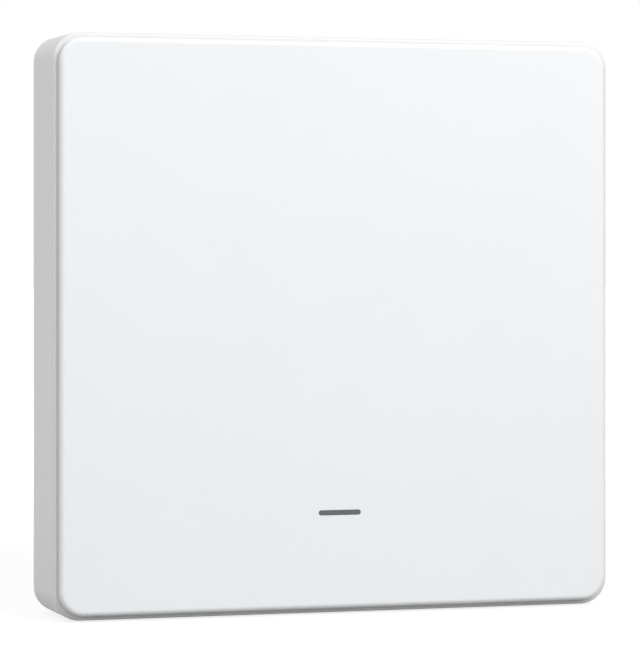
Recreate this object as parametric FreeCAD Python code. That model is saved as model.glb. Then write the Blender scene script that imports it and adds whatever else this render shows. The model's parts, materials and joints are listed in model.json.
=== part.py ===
import FreeCAD, Part
import math
import os

# Wireless remote wall switch: one full-face key on a shallow square housing.
# +X is to the right seen from the front, +Z is up, and the front faces -Y.
# The origin is the centre of the adhesive pad's face, which lies on the wall.
# Heights called low, high, back or front are distances from the wall, in mm.

# Outline
back_width = 86.0
draft_inset = 0.25
key_inset = 0.7
back_corner_radius = 3.8
rim_corner_radius = 4.0
key_corner_radius = 3.6

# Stack of depths, from the wall to the front face
pad_thickness = 0.8
pad_recess = 0.5
floor_thickness = 1.8
cell_clearance = 0.9
cell_thickness = 3.2
negative_contact_thickness = 0.2
holder_base_thickness = 1.1
board_thickness = 1.2
board_standoff = 2.9
frame_thickness = 1.5
key_gap = 2.7
key_thickness = 1.1
groove = 0.4

# Housing
wall = 1.6
back_edge_chamfer = 0.4
rim_edge_chamfer = 0.45
land_width = 3.0
screw_pitch = 60.3
screw_slot_length = 8.0
screw_slot_radius = 2.1
screw_land_width = 2.4
screw_head_recess = 0.6
screw_head_margin = 2.1
seat_rib_thickness = 1.2
seat_rib_reach = 2.0
seat_rib_offset = 27.0
floor_rib_thickness = 1.0
floor_rib_height = 1.2
floor_rib_offset = 20.0

# Snaps between frame and housing
catch_offset = 10.0
catch_width = 8.0
leg_thickness = 1.2
leg_length = 5.8
leg_inset = 0.6
nose_reach = 0.7
nose_thickness = 0.5
nose_depth = 3.9
ledge_thickness = 1.0
catch_gap = 0.1
ledge_gap = 0.2
release_slot_width = 7.0
release_slot_height = 1.6

# Adhesive pad
pad_side_margin = 2.75
pad_end_margin = 5.0
pad_corner_radius = 3.0

# Middle frame
frame_clearance = 0.3
frame_corner_radius = 2.0
frame_rib_thickness = 1.0
frame_rib_height = 1.6
frame_rib_edge_distance = 6.7
frame_rib_end_distance = 10.7
frame_bridge_offset = 21.0

# Key
key_edge_radius = 0.8
key_back_chamfer = 0.15
press_angle = 0.25
lip_clearance = 0.4
lip_thickness = 1.0
lip_height = 1.4
key_rib_thickness = 0.9
key_rib_height = 1.0
key_rib_pitch = 12.0
key_cross_rib_offset = 12.0
actuator_radius = 1.8
actuator_gap = 0.05
actuator_web_thickness = 0.8
actuator_web_reach = 3.4

# Hinges at the top of the key
hinge_offset = 26.0
hinge_edge_distance = 7.7
hinge_drop = 1.4
trunnion_radius = 1.2
trunnion_clearance = 0.06
trunnion_length = 1.6
arm_thickness = 2.0
arm_half_height = 1.8
arm_gap = 0.3
arm_foot = 0.6
ear_thickness = 1.8
ear_half_height = 3.0
ear_depth = 2.5
snap_mouth = 2.0
snap_lead = 0.5

# Hooks at the bottom of the key
hook_offset = 20.0
hook_width = 5.0
hook_thickness = 1.2
hook_edge_distance = 2.7
hook_nose = 0.9
hook_nose_thickness = 0.4
hook_depth = 1.3
hook_gap = 0.1
hook_window_gap = 0.3
hook_flex_room = 1.0

# Rubber stops
stop_length = 6.0
stop_height = 3.0
stop_side_gap = 2.0
stop_edge_distance = 4.7
stop_socket = 0.4
stop_clearance = 0.05

# Circuit board
board_width = 52.0
board_height = 49.0
board_edge_distance = 6.7
screw_inset = 4.0
boss_radius = 2.4
screw_radius = 0.9
screw_fit = 0.02
screw_hole_gap = 0.2
screw_depth = 2.6
screw_hole_depth = 3.0
screw_head_radius = 1.9
screw_head_height = 1.3
board_clip_inset = 4.0
board_clip_width = 4.0
board_clip_thickness = 1.2
board_clip_nose = 0.6
board_clip_nose_height = 0.9
board_clip_gap = 0.1
board_rest_reach = 3.0

# Tact switch
tact_above_indicator = 8.0
tact_width = 6.0
tact_base_height = 3.2
tact_cavity_radius = 2.3
tact_cavity_depth = 2.0
tact_cover_thickness = 0.3
tact_cover_tab = 2.0
tact_cover_tab_width = 3.0
plunger_radius = 1.7
plunger_gap = 0.1
plunger_flange_radius = 2.2
plunger_flange_thickness = 0.95
plunger_nub_radius = 0.8
plunger_nub_gap = 0.02
plunger_height = 5.0
dome_radius = 2.2
dome_rise = 0.5
dome_thickness = 0.1
tact_window_gap = 0.6
terminal_width = 0.7
terminal_thickness = 0.2
terminal_pitch = 4.5
terminal_foot = 1.2
terminal_rise = 0.8

# Indicator
indicator_edge_distance = 14.25
lens_length = 6.5
lens_height = 0.78
lens_fit = 0.02
lens_recess = 0.04
lens_flange_margin = 1.0
lens_flange_thickness = 0.8
pipe_margin = 0.4
pipe_flange_margin = 0.8
pipe_flange_thickness = 0.8
pipe_foot_gap = 0.2
pipe_fit = 0.1
pipe_clearance = 0.2
lamp_length = 2.0
lamp_width = 1.25
lamp_height = 0.8
lamp_base_height = 0.3
lamp_window_inset = 0.2

# Coin cell and its holder
cell_radius = 10.0
cell_cap_radius = 8.7
cell_cap_rise = 0.35
holder_center_x = 4.0
holder_edge_distance = 22.0
holder_fit = 0.1
holder_wall = 1.2
holder_rim_gap = 0.3
holder_mouth = 13.0
holder_corner = 3.0
contact_strip = 5.0
negative_leaf_length = 12.0
positive_contact_thickness = 0.3
positive_contact_reach = 4.5

# Radio module and small parts on the board
radio_width = 16.0
radio_height = 12.0
radio_thickness = 0.8
radio_above_cell = 20.5
shield_width = 11.0
shield_height = 8.4
shield_rise = 1.8
shield_sheet = 0.2
shield_shift = 1.8
radio_chip_width = 5.0
radio_chip_rise = 0.9
crystal_length = 3.2
crystal_width = 2.5
crystal_height = 0.8
crystal_bevel = 0.25
buffer_length = 7.3
buffer_width = 4.3
buffer_height = 2.8
buffer_bevel = 0.35
chip_part_length = 1.6
chip_part_width = 0.8
chip_part_height = 0.5
chip_part_edge = 0.08
chip_row_count = 4
chip_row_pitch = 3.0
chip_row_inset = 5.0
chip_row_spacing = 5.0
chip_row_above_cell = 6.0

# Worked out from the stack
floor_back = pad_thickness - pad_recess
floor_front = floor_back + floor_thickness
cell_back = floor_front + cell_clearance
cell_front = cell_back + cell_thickness
holder_front = cell_front + negative_contact_thickness
board_back = holder_front + holder_base_thickness
board_front = board_back + board_thickness
frame_back = board_front + board_standoff
frame_front = frame_back + frame_thickness
key_back = frame_front + key_gap
key_front = key_back + key_thickness
rim_front = key_back - groove

# Worked out from the outline
back_half = back_width / 2
rim_half = back_half - draft_inset
key_half = rim_half - key_inset


def outline_half(height):
    # The side wall leans in evenly from the back to the front rim.
    return back_half - draft_inset * (height - floor_back) / (rim_front - floor_back)


def outline_radius(height):
    change = back_corner_radius - rim_corner_radius
    return back_corner_radius - change * (height - floor_back) / (rim_front - floor_back)


frame_half = outline_half(frame_front) - wall - frame_clearance
lip_half = rim_half - wall - lip_clearance
leg_outer = frame_half - leg_inset
nose_front = frame_back - nose_depth
ledge_back = nose_front + catch_gap
hinge_z = frame_half - hinge_edge_distance
hinge_out = frame_back - hinge_drop
hook_z = -(frame_half - hook_edge_distance)
stop_z = -(frame_half - stop_edge_distance)
stop_x = lip_half - lip_thickness - stop_side_gap - stop_length / 2
frame_rib_x = frame_half - frame_rib_edge_distance
tact_front = board_front + plunger_height
press_travel = math.radians(press_angle)

# Places on the front: the lens from the key's lower edge, the tact switch above it
indicator_z = -(key_half - indicator_edge_distance)
tact_z = indicator_z + tact_above_indicator

# Places on the board, from its lower edge, its corners and the cell
board_bottom = -(frame_half - board_edge_distance)
board_top = board_bottom + board_height
screw_x = board_width / 2 - screw_inset
screw_z = board_top - screw_inset
holder_center_z = board_bottom + holder_edge_distance
radio_center_z = holder_center_z + radio_above_cell
chip_row_z = holder_center_z + chip_row_above_cell
capacitor_row_x = -(board_width / 2 - chip_row_inset)
resistor_row_x = capacitor_row_x + chip_row_spacing

# The radio, the crystal and the buffer stand evenly spaced between the screw heads.
row_end = screw_x - screw_head_radius
row_gap = (2 * row_end - radio_width - crystal_length - buffer_length) / 4
radio_center_x = -row_end + row_gap + radio_width / 2
crystal_x = radio_center_x + radio_width / 2 + row_gap + crystal_length / 2
buffer_x = row_end - row_gap - buffer_length / 2


def at(x, height, z):
    return FreeCAD.Vector(x, -height, z)


def box(x0, x1, low, high, z0, z1):
    return Part.makeBox(x1 - x0, high - low, z1 - z0, at(x0, high, z0))


def plain_block(half_x, half_z, low, high, x, z):
    return box(x - half_x, x + half_x, low, high, z - half_z, z + half_z)


def disc(radius, low, high, x, z):
    return Part.makeCylinder(radius, high - low, at(x, low, z), at(0, 1, 0))


def rounded_outline(half_x, half_z, radius, height, x=0.0, z=0.0):
    # Four arcs joined by the straight sides that are left between them.
    edges = []
    last = None
    first = None
    for quarter, (side_x, side_z) in enumerate([(1, 1), (-1, 1), (-1, -1), (1, -1)]):
        center_x = x + side_x * (half_x - radius)
        center_z = z + side_z * (half_z - radius)
        points = []
        for step in range(3):
            angle = math.radians(90 * quarter + 45 * step)
            across = radius * math.cos(angle)
            up = radius * math.sin(angle)
            points.append(at(center_x + across, height, center_z + up))
        if last is None:
            first = points[0]
        elif last.distanceToPoint(points[0]) > 1e-6:
            edges.append(Part.makeLine(last, points[0]))
        edges.append(Part.Arc(*points).toShape())
        last = points[2]
    if last.distanceToPoint(first) > 1e-6:
        edges.append(Part.makeLine(last, first))
    return Part.Wire(edges)


def block(half_x, half_z, radius, low, high, x=0.0, z=0.0):
    face = Part.Face(rounded_outline(half_x, half_z, radius, low, x, z))
    return face.extrude(at(0, high - low, 0))


def wall_outline(height, inset):
    half = outline_half(height) - inset
    return rounded_outline(half, half, outline_radius(height) - inset, height)


def side_profile(points, x0, x1):
    # points are (z, height) pairs, drawn out along X
    corners = [at(x0, height, z) for z, height in points]
    face = Part.Face(Part.makePolygon(corners + corners[:1]))
    return face.extrude(FreeCAD.Vector(x1 - x0, 0, 0))


def turned(points, x, z):
    # points are (radius, height) pairs of a closed half section
    corners = [at(x + radius, height, z) for radius, height in points]
    face = Part.Face(Part.makePolygon(corners + corners[:1]))
    return face.revolve(at(x, 0, z), at(0, 1, 0), 360)


def edges_at(shape, height):
    found = []
    for edge in shape.Edges:
        bounds = edge.BoundBox
        if abs(bounds.YMin + height) < 1e-4 and abs(bounds.YMax + height) < 1e-4:
            found.append(edge)
    return found


def upright_edges(shape):
    # The edges that run straight out from the wall
    found = []
    for edge in shape.Edges:
        bounds = edge.BoundBox
        if bounds.XLength < 1e-4 and bounds.ZLength < 1e-4:
            found.append(edge)
    return found


def mirrored_down(shape):
    return shape.mirror(FreeCAD.Vector(0, 0, 0), FreeCAD.Vector(0, 0, 1))


def quarter_turns(shape):
    copies = []
    for turn in range(4):
        copy = shape.copy()
        copy.rotate(FreeCAD.Vector(0, 0, 0), FreeCAD.Vector(0, 1, 0), 90 * turn)
        copies.append(copy)
    return copies


def joined(shapes):
    return shapes[0].multiFuse(shapes[1:]).removeSplitter()


def without(shape, tools):
    return shape.cut(Part.makeCompound(tools))


def export(name, shape):
    shape.exportStep("parts/" + name + ".step")


def make_rear_housing():
    # The outside is one loft with a bevelled back edge and a bevelled rim.
    rings = [
        wall_outline(floor_back, back_edge_chamfer),
        wall_outline(floor_back + back_edge_chamfer, 0),
        wall_outline(rim_front - rim_edge_chamfer, 0),
        wall_outline(rim_front, rim_edge_chamfer),
    ]
    body = Part.makeLoft(rings, True, True)
    cavity = [wall_outline(floor_front, wall), wall_outline(rim_front + 1, wall)]
    body = body.cut(Part.makeLoft(cavity, True, True))

    # Back: a recessed field inside the outer land, with a land round each screw slot
    field = back_half - land_width
    recess = block(field, field, outline_radius(floor_back), floor_back - 1, floor_back + pad_recess)
    slot_half = screw_slot_length / 2
    past_front = floor_front + 1
    land_half = slot_half + screw_land_width
    land_radius = screw_slot_radius + screw_land_width
    head_half = slot_half + screw_head_margin
    head_radius = screw_slot_radius + screw_head_margin
    head_low = floor_front - screw_head_recess
    screw_lands = []
    cuts = []
    for x in (-screw_pitch / 2, screw_pitch / 2):
        screw_lands.append(block(land_half, land_radius, land_radius, floor_back - 2, floor_front, x))
        cuts.append(block(slot_half, screw_slot_radius, screw_slot_radius, floor_back - 1, past_front, x))
        cuts.append(block(head_half, head_radius, head_radius, head_low, past_front, x))
    cuts.append(without(recess, screw_lands))

    # Ribs that carry the frame, and ledges that its snaps hook behind
    embedded = wall / 2
    seats = []
    reach = outline_half(frame_back) - wall - seat_rib_reach
    for x in (-seat_rib_offset, 0, seat_rib_offset):
        x0 = x - seat_rib_thickness / 2
        top = outline_half(frame_back) - embedded
        rib = box(x0, x0 + seat_rib_thickness, floor_front - embedded, frame_back, reach, top)
        seats.extend(quarter_turns(rib))
    ledges = []
    for x in (-catch_offset, catch_offset):
        x0 = x - catch_width / 2
        inner = leg_outer + ledge_gap
        outer = outline_half(ledge_back) - embedded
        ledge = box(x0, x0 + catch_width, ledge_back, ledge_back + ledge_thickness, inner, outer)
        ledges.append(ledge)
        ledges.append(mirrored_down(ledge))
        # A slot in the bottom wall lets a driver push the snap's nose free.
        slot_high = ledge_back - catch_gap
        slot_low = slot_high - release_slot_height
        x1 = x + release_slot_width / 2
        x0 = x - release_slot_width / 2
        slot_end = -(outline_half(slot_high) - wall - 1)
        cuts.append(box(x0, x1, slot_low, slot_high, -back_half - 1, slot_end))

    # Shallow ribs across the floor, clear of the screw heads
    reach = outline_half(floor_front) - embedded
    floor_ribs = []
    low = floor_front - embedded
    high = floor_front + floor_rib_height
    for offset in (-floor_rib_offset, floor_rib_offset):
        x0 = offset - floor_rib_thickness / 2
        floor_ribs.append(box(x0, x0 + floor_rib_thickness, low, high, -reach, reach))
    return without(joined([body] + seats + ledges + floor_ribs), cuts)


def make_adhesive_pad():
    # It fills the recess between the lands of the two screw slots.
    half_x = (screw_pitch - screw_slot_length) / 2 - screw_land_width - pad_side_margin
    half_z = back_half - land_width - pad_end_margin
    return block(half_x, half_z, pad_corner_radius, 0, pad_thickness)


def snap_leg(x):
    end = frame_back - leg_length
    x0 = x - catch_width / 2
    stem = box(x0, x0 + catch_width, end, frame_back, leg_outer - leg_thickness, leg_outer)
    tip = leg_outer + nose_reach
    profile = [
        (leg_outer, nose_front),
        (tip, nose_front),
        (tip, nose_front - nose_thickness),
        (leg_outer, end),
    ]
    return [stem, side_profile(profile, x0, x0 + catch_width)]


def hinge_ear(x0):
    # A flat cheek with a round end, below the frame's plate
    x1 = x0 + ear_thickness
    low = hinge_out - ear_depth
    bevel = ear_half_height - ear_depth / 2
    profile = [
        (hinge_z - ear_half_height, frame_back),
        (hinge_z - ear_half_height, low + bevel),
        (hinge_z - ear_half_height + bevel, low),
        (hinge_z + ear_half_height - bevel, low),
        (hinge_z + ear_half_height, low + bevel),
        (hinge_z + ear_half_height, frame_back),
    ]
    return side_profile(profile, x0, x1)


def cylinder_across(radius, x0, x1, height, z):
    return Part.makeCylinder(radius, x1 - x0, at(x0, height, z), FreeCAD.Vector(1, 0, 0))


def screw_places():
    # Two screws hold the board's upper corners; clips hold its lower edge.
    return [(-screw_x, screw_z), (screw_x, screw_z)]


def board_clip(x):
    # A hook round the board's lower edge, and the rest that the board lies on
    x0 = x - board_clip_width / 2
    x1 = x + board_clip_width / 2
    inner = board_bottom - board_clip_gap
    tip = board_bottom + board_clip_nose
    low = board_back - board_clip_gap
    end = low - board_clip_nose_height
    hook = [
        (inner, frame_back),
        (inner - board_clip_thickness, frame_back),
        (inner - board_clip_thickness, end),
        (inner, end),
        (tip, low),
        (inner, low),
    ]
    rest = [
        (inner, frame_back),
        (inner, board_front),
        (inner + board_rest_reach, board_front),
        (inner + board_rest_reach, frame_back),
    ]
    return [side_profile(hook, x0, x1), side_profile(rest, x0, x1)]


def make_middle_frame():
    plate = block(frame_half, frame_half, frame_corner_radius, frame_back, frame_front)
    solids = [plate]
    cuts = []

    # Snap legs at top and bottom
    for x in (-catch_offset, catch_offset):
        for piece in snap_leg(x):
            solids.append(piece)
            solids.append(mirrored_down(piece))

    # Stiffening ribs on the back
    low = frame_back - frame_rib_height
    reach = frame_half - frame_rib_end_distance
    for x in (-frame_rib_x, frame_rib_x):
        x0 = x - frame_rib_thickness / 2
        solids.append(box(x0, x0 + frame_rib_thickness, low, frame_back, -reach, reach))
    z0 = frame_bridge_offset - frame_rib_thickness / 2
    z1 = z0 + frame_rib_thickness
    solids.append(box(-frame_rib_x, frame_rib_x, low, frame_back, z0, z1))

    # Two ears for each hinge, with snap-in bores that open to the front
    inner = arm_thickness / 2 + arm_gap
    outer = inner + ear_thickness
    bore = trunnion_radius + trunnion_clearance
    for x in (-hinge_offset, hinge_offset):
        solids.append(hinge_ear(x + inner))
        solids.append(hinge_ear(x - outer))
        cuts.append(cylinder_across(bore, x - outer - 1, x + outer + 1, hinge_out, hinge_z))
        half = snap_mouth / 2
        cuts.append(box(x - outer, x + outer, hinge_out, frame_front + 1, hinge_z - half, hinge_z + half))
        lead = [
            (hinge_z - half, frame_front - snap_lead),
            (hinge_z - half - snap_lead, frame_front),
            (hinge_z - half - snap_lead, frame_front + 1),
            (hinge_z + half + snap_lead, frame_front + 1),
            (hinge_z + half + snap_lead, frame_front),
            (hinge_z + half, frame_front - snap_lead),
        ]
        cuts.append(side_profile(lead, x - outer, x + outer))
        window = arm_half_height + arm_foot + arm_gap
        low_z = hinge_z - window
        high_z = hinge_z + window
        cuts.append(box(x - inner, x + inner, frame_back - 1, frame_front + 1, low_z, high_z))

    # Windows that the key's hooks pass through
    for x in (-hook_offset, hook_offset):
        half = hook_width / 2 + hook_window_gap
        low_z = hook_z - hook_thickness / 2 - hook_window_gap
        high_z = hook_z + hook_thickness / 2 + hook_flex_room
        cuts.append(box(x - half, x + half, frame_back - 1, frame_front + 1, low_z, high_z))

    # Bosses for the board
    for x, z in screw_places():
        solids.append(disc(boss_radius, board_front, frame_back, x, z))
        pilot = screw_radius + screw_fit
        cuts.append(disc(pilot, board_front - 1, board_front + screw_hole_depth, x, z))
    clip_x = board_width / 2 - board_clip_inset
    for x in (-clip_x, clip_x):
        solids.extend(board_clip(x))

    # Window for the tact switch, slot for the light pipe and sockets for the stops
    half = tact_width / 2 + tact_cover_thickness + tact_window_gap
    cuts.append(plain_block(half, half, frame_back - 1, frame_front + 1, 0, tact_z))
    half_x, half_z = pipe_halves(pipe_fit)
    cuts.append(plain_block(half_x, half_z, frame_back - 1, frame_front + 1, 0, indicator_z))
    for x in (-stop_x, stop_x):
        cuts.append(stop_block(frame_front - stop_socket, frame_front + 1, x))
    return without(joined(solids), cuts)


def stop_block(low, high, x):
    return plain_block(stop_length / 2, stop_height / 2, low, high, x, stop_z)


def pipe_halves(extra):
    return lens_length / 2 + pipe_margin + extra, lens_height / 2 + pipe_margin + extra


def make_light_pipe():
    half_x, half_z = pipe_halves(0)
    tip = key_back - lens_flange_thickness - press_travel * (hinge_z - indicator_z) - pipe_clearance
    foot = board_front + lamp_height + pipe_foot_gap
    flange = pipe_flange_margin
    low = frame_back - pipe_flange_thickness
    stem = plain_block(half_x, half_z, low, tip, 0, indicator_z)
    collar = plain_block(half_x + flange, half_z + flange, low, frame_back, 0, indicator_z)
    # The foot widens from the lamp to the collar.
    end = lamp_width / 2
    foot_outline = [
        (-lamp_length / 2, foot),
        (lamp_length / 2, foot),
        (half_x, low),
        (-half_x, low),
    ]
    corners = [at(x, height, indicator_z - end) for x, height in foot_outline]
    face = Part.Face(Part.makePolygon(corners + corners[:1]))
    return joined([stem, collar, face.extrude(FreeCAD.Vector(0, 0, lamp_width))])


def make_stop_pads():
    low = frame_front - stop_socket
    lowest = stop_z - stop_height / 2
    high = key_back - press_travel * (hinge_z - lowest) - stop_clearance
    return Part.makeCompound([stop_block(low, high, x) for x in (-stop_x, stop_x)])


def make_key_plate():
    plate = block(key_half, key_half, key_corner_radius, key_back, key_front)
    plate = plate.makeFillet(key_edge_radius, edges_at(plate, key_front))
    plate = plate.makeChamfer(key_back_chamfer, edges_at(plate, key_back))
    inside = key_back + key_thickness / 2

    # Inner lip that closes the view through the groove
    lip_low = key_back - lip_height
    lip_radius = rim_corner_radius - wall
    outer = block(lip_half, lip_half, lip_radius, lip_low, inside)
    inner_half = lip_half - lip_thickness
    inner_radius = lip_radius - lip_thickness
    inner = block(inner_half, inner_half, inner_radius, lip_low - 1, inside + 1)
    solids = [plate, outer.cut(inner)]

    # Stiffening ribs behind the plate
    rib_low = key_back - key_rib_height
    rib_half = key_rib_thickness / 2
    reach = lip_half - lip_thickness / 2
    for x in (-2 * key_rib_pitch, -key_rib_pitch, key_rib_pitch, 2 * key_rib_pitch):
        solids.append(box(x - rib_half, x + rib_half, rib_low, inside, -reach, reach))
    for z in (-key_cross_rib_offset, key_cross_rib_offset):
        solids.append(box(-reach, reach, rib_low, inside, z - rib_half, z + rib_half))

    # Hinge arms with a trunnion on each side
    half = arm_thickness / 2
    for x in (-hinge_offset, hinge_offset):
        low_z = hinge_z - arm_half_height
        high_z = hinge_z + arm_half_height
        solids.append(box(x - half, x + half, hinge_out, inside, low_z, high_z))
        solids.append(cylinder_across(arm_half_height, x - half, x + half, hinge_out, hinge_z))
        foot = [
            (low_z - arm_foot, inside),
            (low_z - arm_foot, key_back),
            (low_z, key_back - arm_foot),
            (high_z, key_back - arm_foot),
            (high_z + arm_foot, key_back),
            (high_z + arm_foot, inside),
        ]
        solids.append(side_profile(foot, x - half, x + half))
        reach = half + trunnion_length
        solids.append(cylinder_across(trunnion_radius, x - reach, x + reach, hinge_out, hinge_z))

    # Hooks that stop the key from swinging out
    for x in (-hook_offset, hook_offset):
        x0 = x - hook_width / 2
        x1 = x + hook_width / 2
        low = frame_back - hook_depth
        back_z = hook_z - hook_thickness / 2
        solids.append(box(x0, x1, low, inside, back_z, back_z + hook_thickness))
        catch = frame_back - hook_gap
        nose = [
            (back_z, catch),
            (back_z - hook_nose, catch),
            (back_z - hook_nose, catch - hook_nose_thickness),
            (back_z, low),
        ]
        solids.append(side_profile(nose, x0, x1))

    # Post that works the tact switch, with two webs
    tip = tact_front + actuator_gap
    solids.append(disc(actuator_radius, tip, inside, 0, tact_z))
    web = actuator_web_thickness / 2
    reach = actuator_web_reach
    solids.append(plain_block(reach, web, rib_low, inside, 0, tact_z))
    solids.append(plain_block(web, reach, rib_low, inside, 0, tact_z))

    slot_half = lens_height / 2
    slot = block(lens_length / 2, slot_half, slot_half, key_back - 1, key_front + 1, 0, indicator_z)
    return joined(solids).cut(slot)


def make_indicator_lens():
    half_x = lens_length / 2 - lens_fit
    half_z = lens_height / 2 - lens_fit
    margin = lens_flange_margin
    low = key_back - lens_flange_thickness
    bar = block(half_x, half_z, half_z, low, key_front - lens_recess, 0, indicator_z)
    flange = plain_block(half_x + margin, half_z + margin, low, key_back, 0, indicator_z)
    return joined([bar, flange])


def make_circuit_board():
    half_x = board_width / 2
    board = box(-half_x, half_x, board_back, board_front, board_bottom, board_top)
    holes = []
    for x, z in screw_places():
        holes.append(disc(screw_radius + screw_hole_gap, board_back - 1, board_front + 1, x, z))
    return without(board, holes)


def make_board_screws():
    screws = []
    head_low = board_back - screw_head_height
    profile = [
        (0, head_low),
        (screw_head_radius, head_low),
        (screw_head_radius, board_back),
        (screw_radius, board_back),
        (screw_radius, board_front + screw_depth),
        (0, board_front + screw_depth),
    ]
    for x, z in screw_places():
        screws.append(turned(profile, x, z))
    return Part.makeCompound(screws)


def make_tact_base():
    half = tact_width / 2
    top = board_front + tact_base_height
    base = plain_block(half, half, board_front, top, 0, tact_z)
    cavity = disc(tact_cavity_radius, top - tact_cavity_depth, top + 1, 0, tact_z)
    return base.cut(cavity)


def make_tact_cover():
    half = tact_width / 2
    low = board_front + tact_base_height
    high = low + tact_cover_thickness
    outer = half + tact_cover_thickness
    tab = tact_cover_tab_width / 2
    sheet = plain_block(half, half, low, high, 0, tact_z)
    solids = [sheet]
    for z0 in (tact_z - outer, tact_z + half):
        solids.append(box(-tab, tab, low - tact_cover_tab, high, z0, z0 + tact_cover_thickness))
    hole = disc(plunger_radius + plunger_gap, low - 1, high + 1, 0, tact_z)
    return joined(solids).cut(hole)


def dome_top():
    return board_front + tact_base_height - tact_cavity_depth + dome_rise


def make_tact_plunger():
    flange_high = board_front + tact_base_height - actuator_gap
    flange_low = flange_high - plunger_flange_thickness
    profile = [
        (0, dome_top() + plunger_nub_gap),
        (plunger_nub_radius, dome_top() + plunger_nub_gap),
        (plunger_nub_radius, flange_low),
        (plunger_flange_radius, flange_low),
        (plunger_flange_radius, flange_high),
        (plunger_radius, flange_high),
        (plunger_radius, tact_front),
        (0, tact_front),
    ]
    return turned(profile, 0, tact_z)


def make_tact_dome():
    # A thin round cap that stands on its skirt
    top = dome_top()
    seat = top - dome_rise
    profile = [
        (0, top),
        (dome_radius, top),
        (dome_radius, seat),
        (dome_radius - dome_thickness, seat),
        (dome_radius - dome_thickness, top - dome_thickness),
        (0, top - dome_thickness),
    ]
    return turned(profile, 0, tact_z)


def make_tact_terminals():
    legs = []
    inner = tact_width / 2
    low = board_front
    thick = terminal_thickness
    high = low + terminal_rise
    half = terminal_width / 2
    end = inner + terminal_foot
    bend = inner + thick
    profile = [
        (inner, low),
        (end, low),
        (end, low + thick),
        (bend, low + thick),
        (bend, high),
        (inner, high),
    ]
    for side in (-1, 1):
        for z in (-terminal_pitch / 2, terminal_pitch / 2):
            corners = [at(side * x, height, tact_z + z - half) for x, height in profile]
            face = Part.Face(Part.makePolygon(corners + corners[:1]))
            legs.append(face.extrude(FreeCAD.Vector(0, 0, terminal_width)))
    return Part.makeCompound(legs)


def make_indicator_lamp():
    half_x = lamp_length / 2
    half_z = lamp_width / 2
    step = board_front + lamp_base_height
    top = board_front + lamp_height
    inset = lamp_window_inset
    base = plain_block(half_x, half_z, board_front, step, 0, indicator_z)
    window = plain_block(half_x - inset, half_z - inset, step, top, 0, indicator_z)
    return joined([base, window])


def make_cell_holder():
    x = holder_center_x
    z = holder_center_z
    inner = cell_radius + holder_fit
    outer = inner + holder_wall
    low = cell_back + holder_rim_gap
    tray = plain_block(outer, outer, low, board_back, x, z)
    tray = tray.makeChamfer(holder_corner, upright_edges(tray))
    well = disc(inner, low - 1, holder_front, x, z)
    half = holder_mouth / 2
    mouth = box(x - half, x + half, low - 1, holder_front, z - outer - 1, z)
    strip = contact_strip / 2
    clip = box(x - strip, x + strip, low - 1, board_back, z + inner, z + outer + 1)
    return without(tray, [well, mouth, clip])


def make_cell_negative_contact():
    half_x = contact_strip / 2
    half_z = negative_leaf_length / 2
    return plain_block(half_x, half_z, cell_front, holder_front, holder_center_x, holder_center_z)


def make_cell_positive_contact():
    # A strip that stands beside the cell and folds over its back
    x = holder_center_x
    thick = positive_contact_thickness
    inner_z = holder_center_z + cell_radius + holder_fit
    fold_z = holder_center_z + cell_radius - positive_contact_reach
    foot_z = inner_z + holder_wall
    back = cell_back - thick
    profile = [
        (fold_z, back),
        (inner_z + thick, back),
        (inner_z + thick, board_back - thick),
        (foot_z + thick, board_back - thick),
        (foot_z + thick, board_back),
        (inner_z, board_back),
        (inner_z, cell_back),
        (fold_z, cell_back),
    ]
    half = contact_strip / 2
    return side_profile(profile, x - half, x + half)


def make_coin_cell():
    shoulder = cell_front - cell_cap_rise
    profile = [
        (0, cell_back),
        (cell_radius, cell_back),
        (cell_radius, shoulder),
        (cell_cap_radius, shoulder),
        (cell_cap_radius, cell_front),
        (0, cell_front),
    ]
    return turned(profile, holder_center_x, holder_center_z)


def make_radio_board():
    low = board_back - radio_thickness
    return plain_block(radio_width / 2, radio_height / 2, low, board_back, radio_center_x, radio_center_z)


def make_radio_shield():
    high = board_back - radio_thickness
    low = high - shield_rise
    half_x = shield_width / 2
    half_z = shield_height / 2
    x = radio_center_x + shield_shift
    z = radio_center_z
    outer = plain_block(half_x, half_z, low, high, x, z)
    outer = outer.makeChamfer(shield_sheet, edges_at(outer, low))
    sheet = shield_sheet
    inner = plain_block(half_x - sheet, half_z - sheet, low + sheet, high + 1, x, z)
    return outer.cut(inner)


def make_radio_chip():
    high = board_back - radio_thickness
    half = radio_chip_width / 2
    x = radio_center_x + shield_shift
    return plain_block(half, half, high - radio_chip_rise, high, x, radio_center_z)


def make_clock_crystal():
    low = board_back - crystal_height
    half_x = crystal_length / 2
    half_z = crystal_width / 2
    can = plain_block(half_x, half_z, low, board_back, crystal_x, radio_center_z)
    return can.makeChamfer(crystal_bevel, edges_at(can, low))


def make_buffer_capacitor():
    low = board_back - buffer_height
    half_x = buffer_length / 2
    half_z = buffer_width / 2
    body = plain_block(half_x, half_z, low, board_back, buffer_x, radio_center_z)
    return body.makeChamfer(buffer_bevel, edges_at(body, low))


def chip_row(x):
    parts = []
    low = board_back - chip_part_height
    for number in range(chip_row_count):
        z = chip_row_z - number * chip_row_pitch
        part = plain_block(chip_part_length / 2, chip_part_width / 2, low, board_back, x, z)
        parts.append(part.makeChamfer(chip_part_edge, edges_at(part, low)))
    return Part.makeCompound(parts)


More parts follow.
